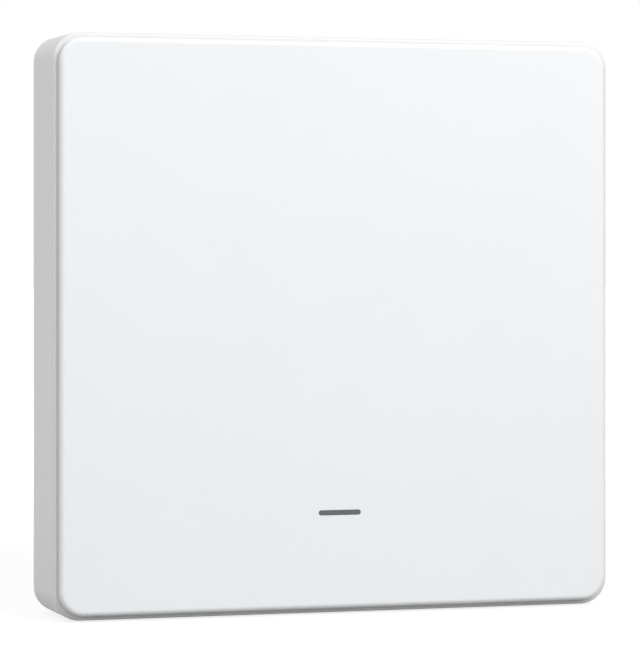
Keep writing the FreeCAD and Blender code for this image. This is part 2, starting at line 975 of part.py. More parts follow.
export("rear_housing", make_rear_housing())
export("adhesive_pad", make_adhesive_pad())
export("middle_frame", make_middle_frame())
export("light_pipe", make_light_pipe())
export("stop_pads", make_stop_pads())
export("key_plate", make_key_plate())
export("indicator_lens", make_indicator_lens())
export("circuit_board", make_circuit_board())
export("board_screws", make_board_screws())
export("tact_base", make_tact_base())
export("tact_cover", make_tact_cover())
export("tact_plunger", make_tact_plunger())
export("tact_dome", make_tact_dome())
export("tact_terminals", make_tact_terminals())
export("indicator_lamp", make_indicator_lamp())
export("cell_holder", make_cell_holder())
export("cell_negative_contact", make_cell_negative_contact())
export("cell_positive_contact", make_cell_positive_contact())
export("coin_cell", make_coin_cell())
export("radio_board", make_radio_board())
export("radio_shield", make_radio_shield())
export("radio_chip", make_radio_chip())
export("clock_crystal", make_clock_crystal())
export("buffer_capacitor", make_buffer_capacitor())
export("small_capacitors", chip_row(capacitor_row_x))
export("small_resistors", chip_row(resistor_row_x))
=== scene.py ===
# Wireless wall switch: a full-face key on a shallow drafted housing, with its inside.
import json
import math

import bmesh
import bpy
import numpy as np
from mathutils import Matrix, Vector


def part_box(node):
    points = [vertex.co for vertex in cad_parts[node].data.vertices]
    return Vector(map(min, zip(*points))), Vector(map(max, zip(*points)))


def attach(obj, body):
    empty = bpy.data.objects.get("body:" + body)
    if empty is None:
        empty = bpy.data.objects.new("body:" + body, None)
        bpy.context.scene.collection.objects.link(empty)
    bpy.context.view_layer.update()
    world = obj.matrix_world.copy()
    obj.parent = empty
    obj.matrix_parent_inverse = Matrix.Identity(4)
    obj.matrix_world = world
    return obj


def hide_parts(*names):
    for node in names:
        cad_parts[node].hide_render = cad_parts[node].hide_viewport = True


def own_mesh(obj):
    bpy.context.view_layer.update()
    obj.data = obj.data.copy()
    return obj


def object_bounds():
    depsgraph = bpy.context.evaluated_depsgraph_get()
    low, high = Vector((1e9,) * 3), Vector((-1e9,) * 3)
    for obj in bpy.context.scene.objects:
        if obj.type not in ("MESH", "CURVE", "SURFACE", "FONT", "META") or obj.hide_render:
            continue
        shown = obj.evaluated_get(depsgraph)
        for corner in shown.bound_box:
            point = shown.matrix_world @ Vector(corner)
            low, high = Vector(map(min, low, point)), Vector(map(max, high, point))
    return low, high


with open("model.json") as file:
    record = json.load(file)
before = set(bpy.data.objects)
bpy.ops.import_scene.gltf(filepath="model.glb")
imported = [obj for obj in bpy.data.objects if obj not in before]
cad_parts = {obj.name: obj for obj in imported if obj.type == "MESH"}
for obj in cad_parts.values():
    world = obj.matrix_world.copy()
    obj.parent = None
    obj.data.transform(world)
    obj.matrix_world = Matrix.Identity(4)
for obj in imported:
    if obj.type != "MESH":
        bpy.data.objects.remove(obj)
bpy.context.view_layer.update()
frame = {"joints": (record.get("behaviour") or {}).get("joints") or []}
print("frame loaded")

mm = 0.001          # pieces are worked out in millimetres and stored in metres
cornerSteps = 20    # points in each quarter turn of an outline
sideSteps = 12      # points along each straight side
over = 1.0          # how far a cutting shape reaches past the face that it cuts
leastCorner = 0.4   # an inset outline keeps at least this corner
barCorner = 0.12    # upright edges of the plain bars
mergeDistance = 0.0005


# Shapes: a height is a distance from the wall, a ring is a closed row of points, and a piece is a
# mesh object

def extent(cadNode):
    # A CAD node's box in mm, and the heights of its back and its front
    low, high = (np.array(corner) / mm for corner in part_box(cadNode))
    return low, high, -high[1], -low[1]


def centerOf(cadNode):
    low, high = extent(cadNode)[:2]
    return (low[0] + high[0]) / 2, (low[2] + high[2]) / 2


def linked(name, data):
    made = bpy.data.objects.new(name, data)
    bpy.context.scene.collection.objects.link(made)
    return made


def outline(halfX, halfZ, radius, height, centerX=0.0, centerZ=0.0):
    # Rounded rectangle at y = -height. A quarter turn is corner centre + radius (cos a, sin a),
    # and an even straight run joins it to the next quarter.
    turn = np.linspace(0.0, 1.0, cornerSteps + 1)
    run = np.linspace(0.0, 1.0, sideSteps + 1)[1:-1, None]
    arcs = []
    for quarter, (signX, signZ) in enumerate([(1, 1), (-1, 1), (-1, -1), (1, -1)]):
        angle = (quarter + turn) * math.pi / 2
        x = centerX + signX * (halfX - radius) + radius * np.cos(angle)
        z = centerZ + signZ * (halfZ - radius) + radius * np.sin(angle)
        arcs.append(np.stack([x, z], 1))
    parts = []
    for arc, after in zip(arcs, arcs[1:] + arcs[:1]):
        parts += [arc, arc[-1] + run * (after[0] - arc[-1])]
    flat = np.concatenate(parts)
    return np.stack([flat[:, 0], np.full(len(flat), -height), flat[:, 1]], 1)


def rounding(radius, steps=8):
    # Quarter arc from a flat face to its side, as (inset, depth below the face) pairs
    if not radius:
        return [(0.0, 0.0)]
    angle = np.linspace(0.0, math.pi / 2, steps + 1)
    return list(zip(radius * (1 - np.sin(angle)), radius * (1 - np.cos(angle))))


def risingEdge(radius, face, steps=8):
    # (inset, height) pairs up from a back face to the side
    return [(inset, face + depth) for inset, depth in rounding(radius, steps)]


def fallingEdge(radius, face, steps=8):
    # (inset, height) pairs from the side up to a front face
    return [(inset, face - depth) for inset, depth in reversed(rounding(radius, steps))]


def rim(radius, pairs):
    # The rounded edge of a turned shape, as (radius, height) rows
    return [(radius - inset, height) for inset, height in pairs]


def between(first, last, shares):
    return [first + share * (last - first) for share in shares]


def signedVolume(points, quads):
    a, b, c, d = (points[quads[:, k]] for k in range(4))
    return (np.einsum("ij,ij->i", a, np.cross(b, c)) + np.einsum("ij,ij->i", a, np.cross(c, d))).sum() / 6


def stack(rings, loop=False):
    # A closed skin through rings of equal length. A loop joins the last ring to the first;
    # otherwise each end is one flat face.
    points = np.concatenate(rings) * mm
    count, size = len(rings), len(rings[0])
    ring = np.arange(count if loop else count - 1)[:, None] * size
    step = np.arange(size)[None, :]
    after = (ring + size) % (count * size)
    nextStep = (step + 1) % size
    quads = np.stack([ring + step, ring + nextStep, after + nextStep, after + step], -1).reshape(-1, 4)
    faces = quads.tolist()
    if not loop:
        faces += [list(range(size))[::-1], list(range((count - 1) * size, count * size))]
    if signedVolume(points - points.mean(0), quads) < 0:
        faces = [face[::-1] for face in faces]
    mesh = bpy.data.meshes.new("shape")
    mesh.from_pydata(points.tolist(), [], faces)
    mesh.update()
    piece = linked("shape", mesh)
    piece.modifiers.new("merge", "WELD").merge_threshold = mergeDistance * mm
    settle(piece)
    return piece


def settle(piece):
    # Applies the piece's modifiers to its mesh.
    depsgraph = bpy.context.evaluated_depsgraph_get()
    mesh = bpy.data.meshes.new_from_object(piece.evaluated_get(depsgraph), depsgraph=depsgraph)
    piece.modifiers.clear()
    piece.data = mesh


def combine(piece, added=(), removed=()):
    # Exact boolean with each tool in turn, which is then deleted
    for operation, tools in (("UNION", added), ("DIFFERENCE", removed)):
        for tool in tools:
            cut = piece.modifiers.new("combine", "BOOLEAN")
            cut.operation = operation
            cut.solver = "EXACT"
            cut.object = tool
            settle(piece)
            bpy.data.objects.remove(tool)
    return piece


def gather(parts):
    # One object from separate ones, which are then deleted
    whole = bmesh.new()
    for part in parts:
        whole.from_mesh(part.data)
        bpy.data.objects.remove(part)
    mesh = bpy.data.meshes.new("shape")
    whole.to_mesh(mesh)
    whole.free()
    return linked("shape", mesh)


def prism(halfX, halfZ, radius, low, high, x=0.0, z=0.0, edge=0.0, backEdge=0.0, steps=8):
    # Rounded block between two heights, with its front and back edges rounded
    rings = []
    for inset, height in risingEdge(backEdge, low, steps) + fallingEdge(edge, high, steps):
        rings.append(outline(halfX - inset, halfZ - inset, max(radius - inset, 0.0), height, x, z))
    return stack(rings)


def boxBlock(low, high, corner, backEdge=0.0, edge=0.0):
    # The same block, filling a box
    x, z = (low[0] + high[0]) / 2, (low[2] + high[2]) / 2
    halfX, halfZ = (high[0] - low[0]) / 2, (high[2] - low[2]) / 2
    return prism(halfX, halfZ, corner, -high[1], -low[1], x, z, edge, backEdge, steps=5)


def nodeBlock(cadNode, corner, backEdge=0.0, edge=0.0):
    return boxBlock(*extent(cadNode)[:2], corner, backEdge, edge)


def bar(x0, x1, low, high, z0, z1):
    corner = min(barCorner, (x1 - x0) / 4, (z1 - z0) / 4)
    return prism((x1 - x0) / 2, (z1 - z0) / 2, corner, low, high, (x0 + x1) / 2, (z0 + z1) / 2)


def profileX(points, x0, x1):
    # A closed (z, height) outline drawn out along X
    return stack([np.array([(x, -height, z) for z, height in points]) for x in (x0, x1)])


def profileZ(points, z0, z1):
    # A closed (x, height) outline drawn out along Z
    return stack([np.array([(x, -height, z) for x, height in points]) for z in (z0, z1)])


def roundBar(radius, x0, x1, height, z, edge=0.15, steps=48):
    # Cylinder along X whose radius falls on a quarter arc at each end
    angle = np.arange(steps) * 2 * math.pi / steps
    across, up = np.cos(angle), np.sin(angle)
    rings = []
    for inset, x in risingEdge(edge, x0, 5) + fallingEdge(edge, x1, 5):
        here = radius - inset
        rings.append(np.stack([np.full(steps, x), -height + here * across, z + here * up], 1))
    return stack(rings)


def lathe(rows, x, z, steps=96):
    # A (radius, height) profile turned round an axis that runs out from the wall. A radius may be
    # an array with one value for each step of the turn.
    angle = np.arange(steps) * 2 * math.pi / steps
    across, up = np.cos(angle), np.sin(angle)
    rings = []
    for radius, height in rows:
        rings.append(np.stack([x + radius * across, np.full(steps, -height), z + radius * up], 1))
    return stack(rings)


def drum(radius, low, high, x, z, steps=96):
    return lathe([(radius, low), (radius, high)], x, z, steps)


def bentStrip(path, thickness, bend, steps=6):
    # Outline of a strip bent along a path: each corner becomes a quadratic run from one leg to the
    # other, and both faces lie half a thickness from that line.
    path = np.array(path, float)
    line, across = [path[0]], [path[1] - path[0]]
    for before, corner, after in zip(path[:-2], path[1:-1], path[2:]):
        into = (corner - before) / np.linalg.norm(corner - before)
        out = (after - corner) / np.linalg.norm(after - corner)
        start, end = corner - bend * into, corner + bend * out
        for part in np.linspace(0.0, 1.0, steps + 1):
            line.append((1 - part) ** 2 * start + 2 * part * (1 - part) * corner + part ** 2 * end)
            across.append((1 - part) * into + part * out)
    line.append(path[-1])
    across.append(path[-1] - path[-2])
    line, across = np.array(line), np.array(across)
    normal = np.stack([-across[:, 1], across[:, 0]], 1)
    normal *= thickness / 2 / np.linalg.norm(normal, axis=1)[:, None]
    return np.concatenate([line + normal, (line - normal)[::-1]])


def shade(piece, angle=34.0):
    # Smooth faces, sharp edges past the angle, and normals that follow the larger faces
    piece.data.shade_smooth()
    piece.data.set_sharp_from_angle(angle=math.radians(angle))
    weighted = piece.modifiers.new("weighted", "WEIGHTED_NORMAL")
    weighted.keep_sharp = True
    weighted.weight = 100


pieces = {}


def finishPiece(cadNode, name, piece, body="base"):
    piece.name = name
    shade(piece)
    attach(piece, body)
    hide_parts(cadNode)
    pieces[cadNode] = piece
    print(name, "made,", len(piece.data.polygons), "faces")


# Sizes that several pieces share, in mm

keyHigh, hookTip, keyFront = extent("key_plate")[1:]
frameHigh, legTip, frameFront = extent("middle_frame")[1:]
backHeight, rimFront = extent("rear_housing")[2:]
boardLow, boardHigh, boardBack, boardFront = extent("circuit_board")
plungerFront = extent("tact_plunger")[3]
slotZ = centerOf("indicator_lens")[1]
tactZ = centerOf("tact_plunger")[1]
keyHalf, frameHalf = keyHigh[0], frameHigh[0]
framePlate = 1.5
frameBack = frameFront - framePlate
frameDeep = frameBack + framePlate / 2      # ribs, legs and ears start here, inside the plate
hinge = [joint for joint in frame["joints"] if joint["name"] == "key_press"][0]
hingeHeight, hingeZ = -hinge["pos_m"][1] / mm, hinge["pos_m"][2] / mm


# Key

keySizes = {
    "thickness": 1.1,
    "corner": 3.6,
    "edge": 0.8,                # rounding round the front
    "backEdge": 0.15,
    "inset": 0.7,               # from the housing's rim to the key's side
    "lipGap": 1.3,              # from the key's side to the lip
    "lipThickness": 1.0,
    "lipHeight": 1.4,
    "lipEdge": 0.2,
    "slotLength": 6.5,
    "slotHeight": 0.78,
    "slotEdge": 0.05,
    "slotMargin": 0.1,          # from the slot to the next ring of points
    "faceMargin": 0.4,          # from the front's rounding to the same, and to a closer one
    "edgeMargin": 0.03,
    "ribThickness": 0.9,
    "ribHeight": 1.0,
    "ribPitch": 12.0,
    "armX": 26.0,
    "armThickness": 2.0,
    "armHalf": 1.8,
    "armFoot": 0.6,
    "trunnionRadius": 1.2,
    "trunnionLength": 1.6,
    "hookX": 20.0,
    "hookWidth": 5.0,
    "hookThickness": 1.2,
    "hookInset": 2.7,           # from the frame's edge
    "hookNose": 0.9,
    "hookNoseThickness": 0.4,
    "hookGap": 0.1,
    "postRadius": 1.8,
    "webThickness": 0.8,
    "webReach": 3.4,
    "postGap": 0.05,
}

keyBack = keyFront - keySizes["thickness"]


def slotOutline(height, grow=0.0):
    half = keySizes["slotHeight"] / 2 + grow
    return outline(keySizes["slotLength"] / 2 + grow, half, half, height, 0.0, slotZ)


def keyOutline(height, inset=0.0):
    half = keyHalf - inset
    return outline(half, half, max(keySizes["corner"] - inset, leastCorner), height)


def makeKeySkin():
    # One closed band: up the lens slot, across the face, round the edge, down the side,
    # and back along the rear with its lip to the slot again.
    k = keySizes
    slotEdge, margin = k["slotEdge"], k["slotMargin"]
    rings = [slotOutline(keyBack), slotOutline(keyFront - slotEdge * 2)]
    rings += [slotOutline(height, slotEdge - inset) for inset, height in fallingEdge(slotEdge, keyFront, 4)]
    innermost = slotOutline(keyFront, slotEdge + margin)
    outermost = keyOutline(keyFront, k["edge"] + k["faceMargin"])
    rings += between(innermost, outermost, [0.0, 0.04, 0.12, 0.3, 0.6, 1.0])
    rings.append(keyOutline(keyFront, k["edge"] + k["edgeMargin"]))
    for inset, depth in rounding(k["edge"], 14):
        rings.append(keyOutline(keyFront - depth, inset))
    for inset, depth in reversed(rounding(k["backEdge"], 4)):
        rings.append(keyOutline(keyBack + depth, inset))
    # The lip that closes the view through the groove
    lipTop = keyBack - k["lipHeight"]
    inner = k["lipGap"] + k["lipThickness"]
    rings.append(keyOutline(keyBack, k["lipGap"]))
    for inset, depth in reversed(rounding(k["lipEdge"], 4)):
        rings.append(keyOutline(lipTop + depth, k["lipGap"] + inset))
    rings += [keyOutline(height, inner - inset) for inset, height in risingEdge(k["lipEdge"], lipTop, 4)]
    rings += between(keyOutline(keyBack, inner), slotOutline(keyBack, margin), [0.0, 0.4, 0.7, 0.9, 1.0])
    return stack(rings, loop=True)


def makeKeyInside():
    # Ribs, hinge arms with their trunnions, hooks and the post behind the plate
    k = keySizes
    deep, ribLow = keyBack + k["thickness"] / 2, keyBack - k["ribHeight"]
    reach, half = keyHalf - k["lipGap"] - k["lipThickness"] / 2, k["ribThickness"] / 2
    tools = []
    for number in (-2, -1, 1, 2):
        x = number * k["ribPitch"]
        tools.append(bar(x - half, x + half, ribLow, deep, -reach, reach))
    for z in (-k["ribPitch"], k["ribPitch"]):
        tools.append(bar(-reach, reach, ribLow, deep, z - half, z + half))
    low, high, foot = hingeZ - k["armHalf"], hingeZ + k["armHalf"], k["armFoot"]
    turn = np.linspace(0.0, math.pi, 25)
    arm = list(zip(hingeZ - k["armHalf"] * np.cos(turn), hingeHeight - k["armHalf"] * np.sin(turn)))
    arm += [(high, keyBack - foot), (high + foot, keyBack), (high + foot, deep)]
    arm += [(low - foot, deep), (low - foot, keyBack), (low, keyBack - foot)]
    for x in (-k["armX"], k["armX"]):
        half = k["armThickness"] / 2
        end = half + k["trunnionLength"]
        tools.append(profileX(arm, x - half, x + half))
        tools.append(roundBar(k["trunnionRadius"], x - end, x + end, hingeHeight, hingeZ))
    back = k["hookInset"] - frameHalf - k["hookThickness"] / 2
    front, nose = back + k["hookThickness"], back - k["hookNose"]
    catch = frameBack - k["hookGap"]
    hook = [(back, deep), (back, catch), (nose, catch), (nose, catch - k["hookNoseThickness"])]
    hook += [(back, hookTip), (front, hookTip), (front, deep)]
    for x in (-k["hookX"], k["hookX"]):
        tools.append(profileX(hook, x - k["hookWidth"] / 2, x + k["hookWidth"] / 2))
    radius, web, reach = k["postRadius"], k["webThickness"] / 2, k["webReach"]
    tools.append(prism(radius, radius, radius, plungerFront + k["postGap"], deep, 0.0, tactZ))
    tools.append(bar(-reach, reach, ribLow, deep, tactZ - web, tactZ + web))
    tools.append(bar(-web, web, ribLow, deep, tactZ - reach, tactZ + reach))
    return tools


finishPiece("key_plate", "keyPlate", combine(makeKeySkin(), makeKeyInside()), "key")


# Housing

housingSizes = {
    "draft": 0.25,              # the back is wider than the rim by this on each side
    "backCorner": 3.8,
    "rimCorner": 4.0,
    "backEdge": 0.4,
    "rimEdge": 0.45,
    "wallEdge": 0.1,
    "wall": 1.6,
    "floor": 1.8,
    "field": 0.5,               # depth of the recess for the pad
    "land": 3.0,
    "screwPitch": 60.3,
    "slotLength": 8.0,
    "slotRadius": 2.1,
    "slotLand": 2.4,
    "headMargin": 2.1,
    "headRecess": 0.6,
    "seatThickness": 1.2,
    "seatReach": 2.0,
    "seatX": 27.0,
    "floorRib": 1.0,
    "floorRibHeight": 1.2,
    "floorRibX": 20.0,
    "catchX": 10.0,
    "catchWidth": 8.0,
    "ledgeThickness": 1.0,
    "legInset": 0.6,
    "ledgeGap": 0.2,
    "noseDepth": 3.9,
    "catchGap": 0.1,
    "landRoot": 0.2,            # how deep the land goes into the floor
    "middleHalf": 1.5,          # the small face that closes the back and the floor
    "middleCorner": 0.7,
    "releaseWidth": 7.0,
    "releaseHeight": 1.6,
}

floorFront = backHeight + housingSizes["floor"]
rimHalf = keyHalf + keySizes["inset"]


def rise(height):
    # 0 at the back, 1 at the rim
    return (height - backHeight) / (rimFront - backHeight)


def wallHalf(height):
    return rimHalf + housingSizes["draft"] * (1 - rise(height))


def wallOutline(height, inset=0.0):
    h = housingSizes
    half = wallHalf(height) - inset
    corner = h["backCorner"] + (h["rimCorner"] - h["backCorner"]) * rise(height)
    return outline(half, half, max(corner - inset, leastCorner), height)


def makeHousingSkin():
    # From the middle of the back, out over the land, up the drafted wall, over the rim,
    # and down the inside to the middle of the floor
    h = housingSizes
    fieldHeight = backHeight + h["field"]
    middle = h["middleHalf"], h["middleHalf"], h["middleCorner"]
    field = wallOutline(backHeight, h["land"]) * [1, 0, 1] + [0, -fieldHeight, 0]
    rings = between(outline(*middle, fieldHeight), field, [0.0, 0.3, 0.7, 1.0])
    rings.append(wallOutline(backHeight, h["land"]))
    rings += [wallOutline(height, inset) for inset, height in risingEdge(h["backEdge"], backHeight, 6)]
    rings += [wallOutline(backHeight + (rimFront - backHeight) * part) for part in (0.25, 0.5, 0.75)]
    rings += [wallOutline(height, inset) for inset, height in fallingEdge(h["rimEdge"], rimFront)]
    for inset, depth in rounding(h["wallEdge"], 3):
        rings.append(wallOutline(rimFront - depth, h["wall"] - inset))
    for part in (0.66, 0.33, 0.0):
        rings.append(wallOutline(floorFront + (rimFront - floorFront) * part, h["wall"]))
    floorEdge = wallOutline(floorFront, h["wall"])
    rings += between(floorEdge, outline(*middle, floorFront), [0.3, 0.7, 1.0])
    return stack(rings)


def fourWalls(x0, x1, low, high, reach, top):
    # The same bar on the four walls
    sides = ((x0, x1, reach, top), (x0, x1, -top, -reach), (reach, top, x0, x1), (-top, -reach, x0, x1))
    return [bar(a, b, low, high, c, d) for a, b, c, d in sides]


def makeHousing():
    h = housingSizes
    added, removed = [], []
    deep = h["wall"] / 2
    for x in (-h["seatX"], 0.0, h["seatX"]):
        x0 = x - h["seatThickness"] / 2
        reach = wallHalf(frameBack) - h["wall"] - h["seatReach"]
        top = wallHalf(frameBack) - deep
        added += fourWalls(x0, x0 + h["seatThickness"], floorFront - deep, frameBack, reach, top)
    # Ledges for the frame's snap legs, and slots in the bottom wall that free them
    inner = frameHalf - h["legInset"] + h["ledgeGap"]
    ledgeBack = frameBack - h["noseDepth"] + h["catchGap"]
    outer = wallHalf(ledgeBack) - deep
    high = ledgeBack - h["catchGap"]
    for x in (-h["catchX"], h["catchX"]):
        x0, x1 = x - h["catchWidth"] / 2, x + h["catchWidth"] / 2
        for z0, z1 in ((inner, outer), (-outer, -inner)):
            added.append(bar(x0, x1, ledgeBack, ledgeBack + h["ledgeThickness"], z0, z1))
        x0, x1 = x - h["releaseWidth"] / 2, x + h["releaseWidth"] / 2
        end = over + h["wall"] - wallHalf(high)
        removed.append(bar(x0, x1, high - h["releaseHeight"], high, -wallHalf(0) - over, end))
    reach, half = wallHalf(floorFront) - deep, h["floorRib"] / 2
    low, high = floorFront - deep, floorFront + h["floorRibHeight"]
    for x in (-h["floorRibX"], h["floorRibX"]):
        added.append(bar(x - half, x + half, low, high, -reach, reach))
    # Screw slots with a land behind and a recess for the head in front
    half, hole = h["slotLength"] / 2, h["slotRadius"]
    land, head = hole + h["slotLand"], hole + h["headMargin"]
    root = backHeight + h["field"] + h["landRoot"]
    seat, front = floorFront - h["headRecess"], floorFront + over
    for x in (-h["screwPitch"] / 2, h["screwPitch"] / 2):
        added.append(prism(half + h["slotLand"], land, land, backHeight, root, x))
        removed.append(prism(half, hole, hole, backHeight - over, front, x))
        removed.append(prism(half + h["headMargin"], head, head, seat, front, x))
    return combine(makeHousingSkin(), added, removed)


finishPiece("rear_housing", "housingShell", makeHousing())


# Lens and pad

lensSizes = {
    "fit": 0.02,
    "recess": 0.04,
    "edge": 0.06,
    "flangeMargin": 1.0,
    "flangeThickness": 0.8,
    "flangeCorner": 0.15,
}
padSizes = {"corner": 3.0, "edge": 0.12}


def makeLens():
    k, s = keySizes, lensSizes
    halfX, halfZ = k["slotLength"] / 2 - s["fit"], k["slotHeight"] / 2 - s["fit"]
    flangeX, flangeZ = halfX + s["flangeMargin"], halfZ + s["flangeMargin"]
    shelf = keyBack - s["flangeThickness"]
    rings = [outline(flangeX, flangeZ, s["flangeCorner"], height, 0.0, slotZ) for height in (shelf, keyBack)]
    rings.append(outline(halfX, halfZ, halfZ, keyBack, 0.0, slotZ))
    for inset, height in fallingEdge(s["edge"], keyFront - s["recess"], 5):
        rings.append(outline(halfX - inset, halfZ - inset, halfZ - inset, height, 0.0, slotZ))
    return stack(rings)


def makePad():
    high, back, front = extent("adhesive_pad")[1:]
    edge = padSizes["edge"]
    return prism(high[0], high[2], padSizes["corner"], 0.0, front - back, edge=edge, backEdge=edge, steps=4)


finishPiece("indicator_lens", "indicatorWindow", makeLens(), "key")
finishPiece("adhesive_pad", "foamPad", makePad())


# Middle frame

frameSizes = {
    "corner": 2.0,
    "edge": 0.3,                # rounding round the plate's front
    "legThickness": 1.2,
    "noseReach": 0.7,
    "noseThickness": 0.5,
    "ribThickness": 1.0,
    "ribHeight": 1.6,
    "ribEdge": 6.7,
    "ribEnd": 10.7,
    "bridgeZ": 21.0,
    "earGap": 0.3,
    "earThickness": 1.8,
    "earHalf": 3.0,
    "earDepth": 2.5,
    "earRound": 1.75,
    "boreGap": 0.06,
    "mouthHalf": 1.0,
    "mouthLead": 0.5,
    "hookSide": 0.3,
    "hookRoom": 1.0,
    "screwInset": 4.0,          # from the board's upper corners
    "bossRadius": 2.4,
    "pilotRadius": 0.92,
    "pilotDepth": 3.0,
    "clipInset": 4.0,
    "clipWidth": 4.0,
    "clipThickness": 1.2,
    "clipGap": 0.1,
    "clipNose": 0.6,
    "clipNoseHeight": 0.9,
    "restReach": 3.0,
    "tactGap": 0.6,
    "pipeFit": 0.1,
    "stopWidth": 6.0,
    "stopSocket": 0.4,
    "tactCorner": 0.4,
    "root": 0.3,                # how deep a hook goes into its leg
}

screwX = boardHigh[0] - frameSizes["screwInset"]
screwZ = boardHigh[2] - frameSizes["screwInset"]
cutBack, cutFront = frameBack - over, frameFront + over


def addFrameBack(added, removed):
    # Snap legs, ribs, bosses and board clips on the back of the plate
    f, h = frameSizes, housingSizes
    nose = frameBack - h["noseDepth"]
    for x in (-h["catchX"], h["catchX"]):
        x0, x1 = x - h["catchWidth"] / 2, x + h["catchWidth"] / 2
        for side in (-1, 1):
            outer = side * (frameHalf - h["legInset"])
            inner = outer - side * f["legThickness"]
            added.append(bar(x0, x1, legTip, frameDeep, min(inner, outer), max(inner, outer)))
            root, reach = outer - side * f["root"], outer + side * f["noseReach"]
            hook = [(root, nose), (reach, nose), (reach, nose - f["noseThickness"])]
            added.append(profileX(hook + [(outer, legTip), (root, legTip)], x0, x1))
    ribX, half, low = frameHalf - f["ribEdge"], f["ribThickness"] / 2, frameBack - f["ribHeight"]
    reach, bridge = frameHalf - f["ribEnd"], f["bridgeZ"]
    for x in (-ribX, ribX):
        added.append(bar(x - half, x + half, low, frameDeep, -reach, reach))
    added.append(bar(-ribX, ribX, low, frameDeep, bridge - half, bridge + half))
    for x in (-screwX, screwX):
        added.append(drum(f["bossRadius"], boardFront, frameDeep, x, screwZ))
        removed.append(drum(f["pilotRadius"], boardFront - over, boardFront + f["pilotDepth"], x, screwZ))
    inner, low = boardLow[2] - f["clipGap"], boardBack - f["clipGap"]
    outer, end = inner - f["clipThickness"], low - f["clipNoseHeight"]
    hook = [(inner, frameDeep), (outer, frameDeep), (outer, end), (inner, end)]
    hook += [(boardLow[2] + f["clipNose"], low), (inner, low)]
    clipX = boardHigh[0] - f["clipInset"]
    for x in (-clipX, clipX):
        x0, x1 = x - f["clipWidth"] / 2, x + f["clipWidth"] / 2
        added.append(profileX(hook, x0, x1))
        added.append(bar(x0, x1, boardFront, frameDeep, inner - f["root"], inner + f["restReach"]))


def addFrameHinges(added, removed):
    # Two ears with a snap-in bore for each hinge arm of the key
    f, k = frameSizes, keySizes
    inner = k["armThickness"] / 2 + f["earGap"]
    outer = inner + f["earThickness"]
    bend = f["earRound"]
    center = hingeHeight - f["earDepth"] + bend
    turn = np.linspace(0.0, math.pi / 2, 9)
    left, right = hingeZ - f["earHalf"] + bend, hingeZ + f["earHalf"] - bend
    ear = [(left - bend, frameDeep)]
    ear += list(zip(left - bend * np.cos(turn), center - bend * np.sin(turn)))
    ear += list(zip(right + bend * np.sin(turn), center - bend * np.cos(turn)))
    ear.append((right + bend, frameDeep))
    half, wide, neck = f["mouthHalf"], f["mouthHalf"] + f["mouthLead"], frameFront - f["mouthLead"]
    mouth = [(-half, hingeHeight), (-half, neck), (-wide, frameFront), (-wide, cutFront)]
    mouth += [(-z, height) for z, height in reversed(mouth)]
    mouth = [(hingeZ + z, height) for z, height in mouth]
    bore = k["trunnionRadius"] + f["boreGap"]
    window = k["armHalf"] + k["armFoot"] + f["earGap"]
    for x in (-k["armX"], k["armX"]):
        added += [profileX(ear, x + inner, x + outer), profileX(ear, x - outer, x - inner)]
        removed.append(roundBar(bore, x - outer - over, x + outer + over, hingeHeight, hingeZ, 0.1, 64))
        removed.append(profileX(mouth, x - outer, x + outer))
        removed.append(bar(x - inner, x + inner, cutBack, cutFront, hingeZ - window, hingeZ + window))


def cutFrameWindows(removed):
    # Openings for the key's hooks, the tact switch, the light pipe and the stops
    f, k = frameSizes, keySizes
    hookZ = k["hookInset"] - frameHalf
    low = hookZ - k["hookThickness"] / 2 - f["hookSide"]
    high = hookZ + k["hookThickness"] / 2 + f["hookRoom"]
    half = k["hookWidth"] / 2 + f["hookSide"]
    for x in (-k["hookX"], k["hookX"]):
        removed.append(bar(x - half, x + half, cutBack, cutFront, low, high))
    coverLow, coverHigh = extent("tact_cover")[:2]
    half = (coverHigh[2] - coverLow[2]) / 2 + f["tactGap"]
    removed.append(prism(half, half, f["tactCorner"], cutBack, cutFront, 0.0, tactZ))
    pipeLow, pipeHigh = extent("light_pipe")[:2]
    grow = f["pipeFit"] - pipeSizes["flange"]
    halfX, halfZ = pipeHigh[0] + grow, (pipeHigh[2] - pipeLow[2]) / 2 + grow
    removed.append(prism(halfX, halfZ, pipeSizes["corner"], cutBack, cutFront, 0.0, slotZ))
    stopLow, stopHigh = extent("stop_pads")[:2]
    halfX, halfZ, z = f["stopWidth"] / 2, (stopHigh[2] - stopLow[2]) / 2, centerOf("stop_pads")[1]
    socket = frameFront - f["stopSocket"]
    for x in (halfX - stopHigh[0], stopHigh[0] - halfX):
        removed.append(prism(halfX, halfZ, stopSizes["corner"], socket, cutFront, x, z))


def makeMiddleFrame():
    f = frameSizes
    plate = prism(frameHalf, frameHalf, f["corner"], frameBack, frameFront, edge=f["edge"])
    added, removed = [], []
    addFrameBack(added, removed)
    addFrameHinges(added, removed)
    cutFrameWindows(removed)
    return combine(plate, added, removed)


# Light pipe and stops

pipeSizes = {
    "corner": 0.1,
    "edge": 0.1,
    "flange": 0.8,
    "flangeThickness": 0.8,
    "flangeCorner": 0.3,
    "footX": 1.0,
    "footZ": 0.625,
    "root": 0.3,
}
stopSizes = {"corner": 0.6, "edge": 0.35}


def makeLightPipe():
    s = pipeSizes
    low, high, foot, tip = extent("light_pipe")
    halfX, halfZ = high[0] - s["flange"], (high[2] - low[2]) / 2 - s["flange"]
    shelf = frameBack - s["flangeThickness"]
    corner, flange = s["corner"], s["flange"]
    pipe = prism(halfX, halfZ, corner, shelf, tip, 0.0, slotZ, s["edge"])
    collar = prism(halfX + flange, halfZ + flange, s["flangeCorner"], shelf, frameBack, 0.0, slotZ)
    rows = [(s["footX"], foot), (halfX, shelf), (halfX, shelf + s["root"])]
    flare = stack([outline(half, s["footZ"], corner, height, 0.0, slotZ) for half, height in rows])
    return combine(pipe, [collar, flare])


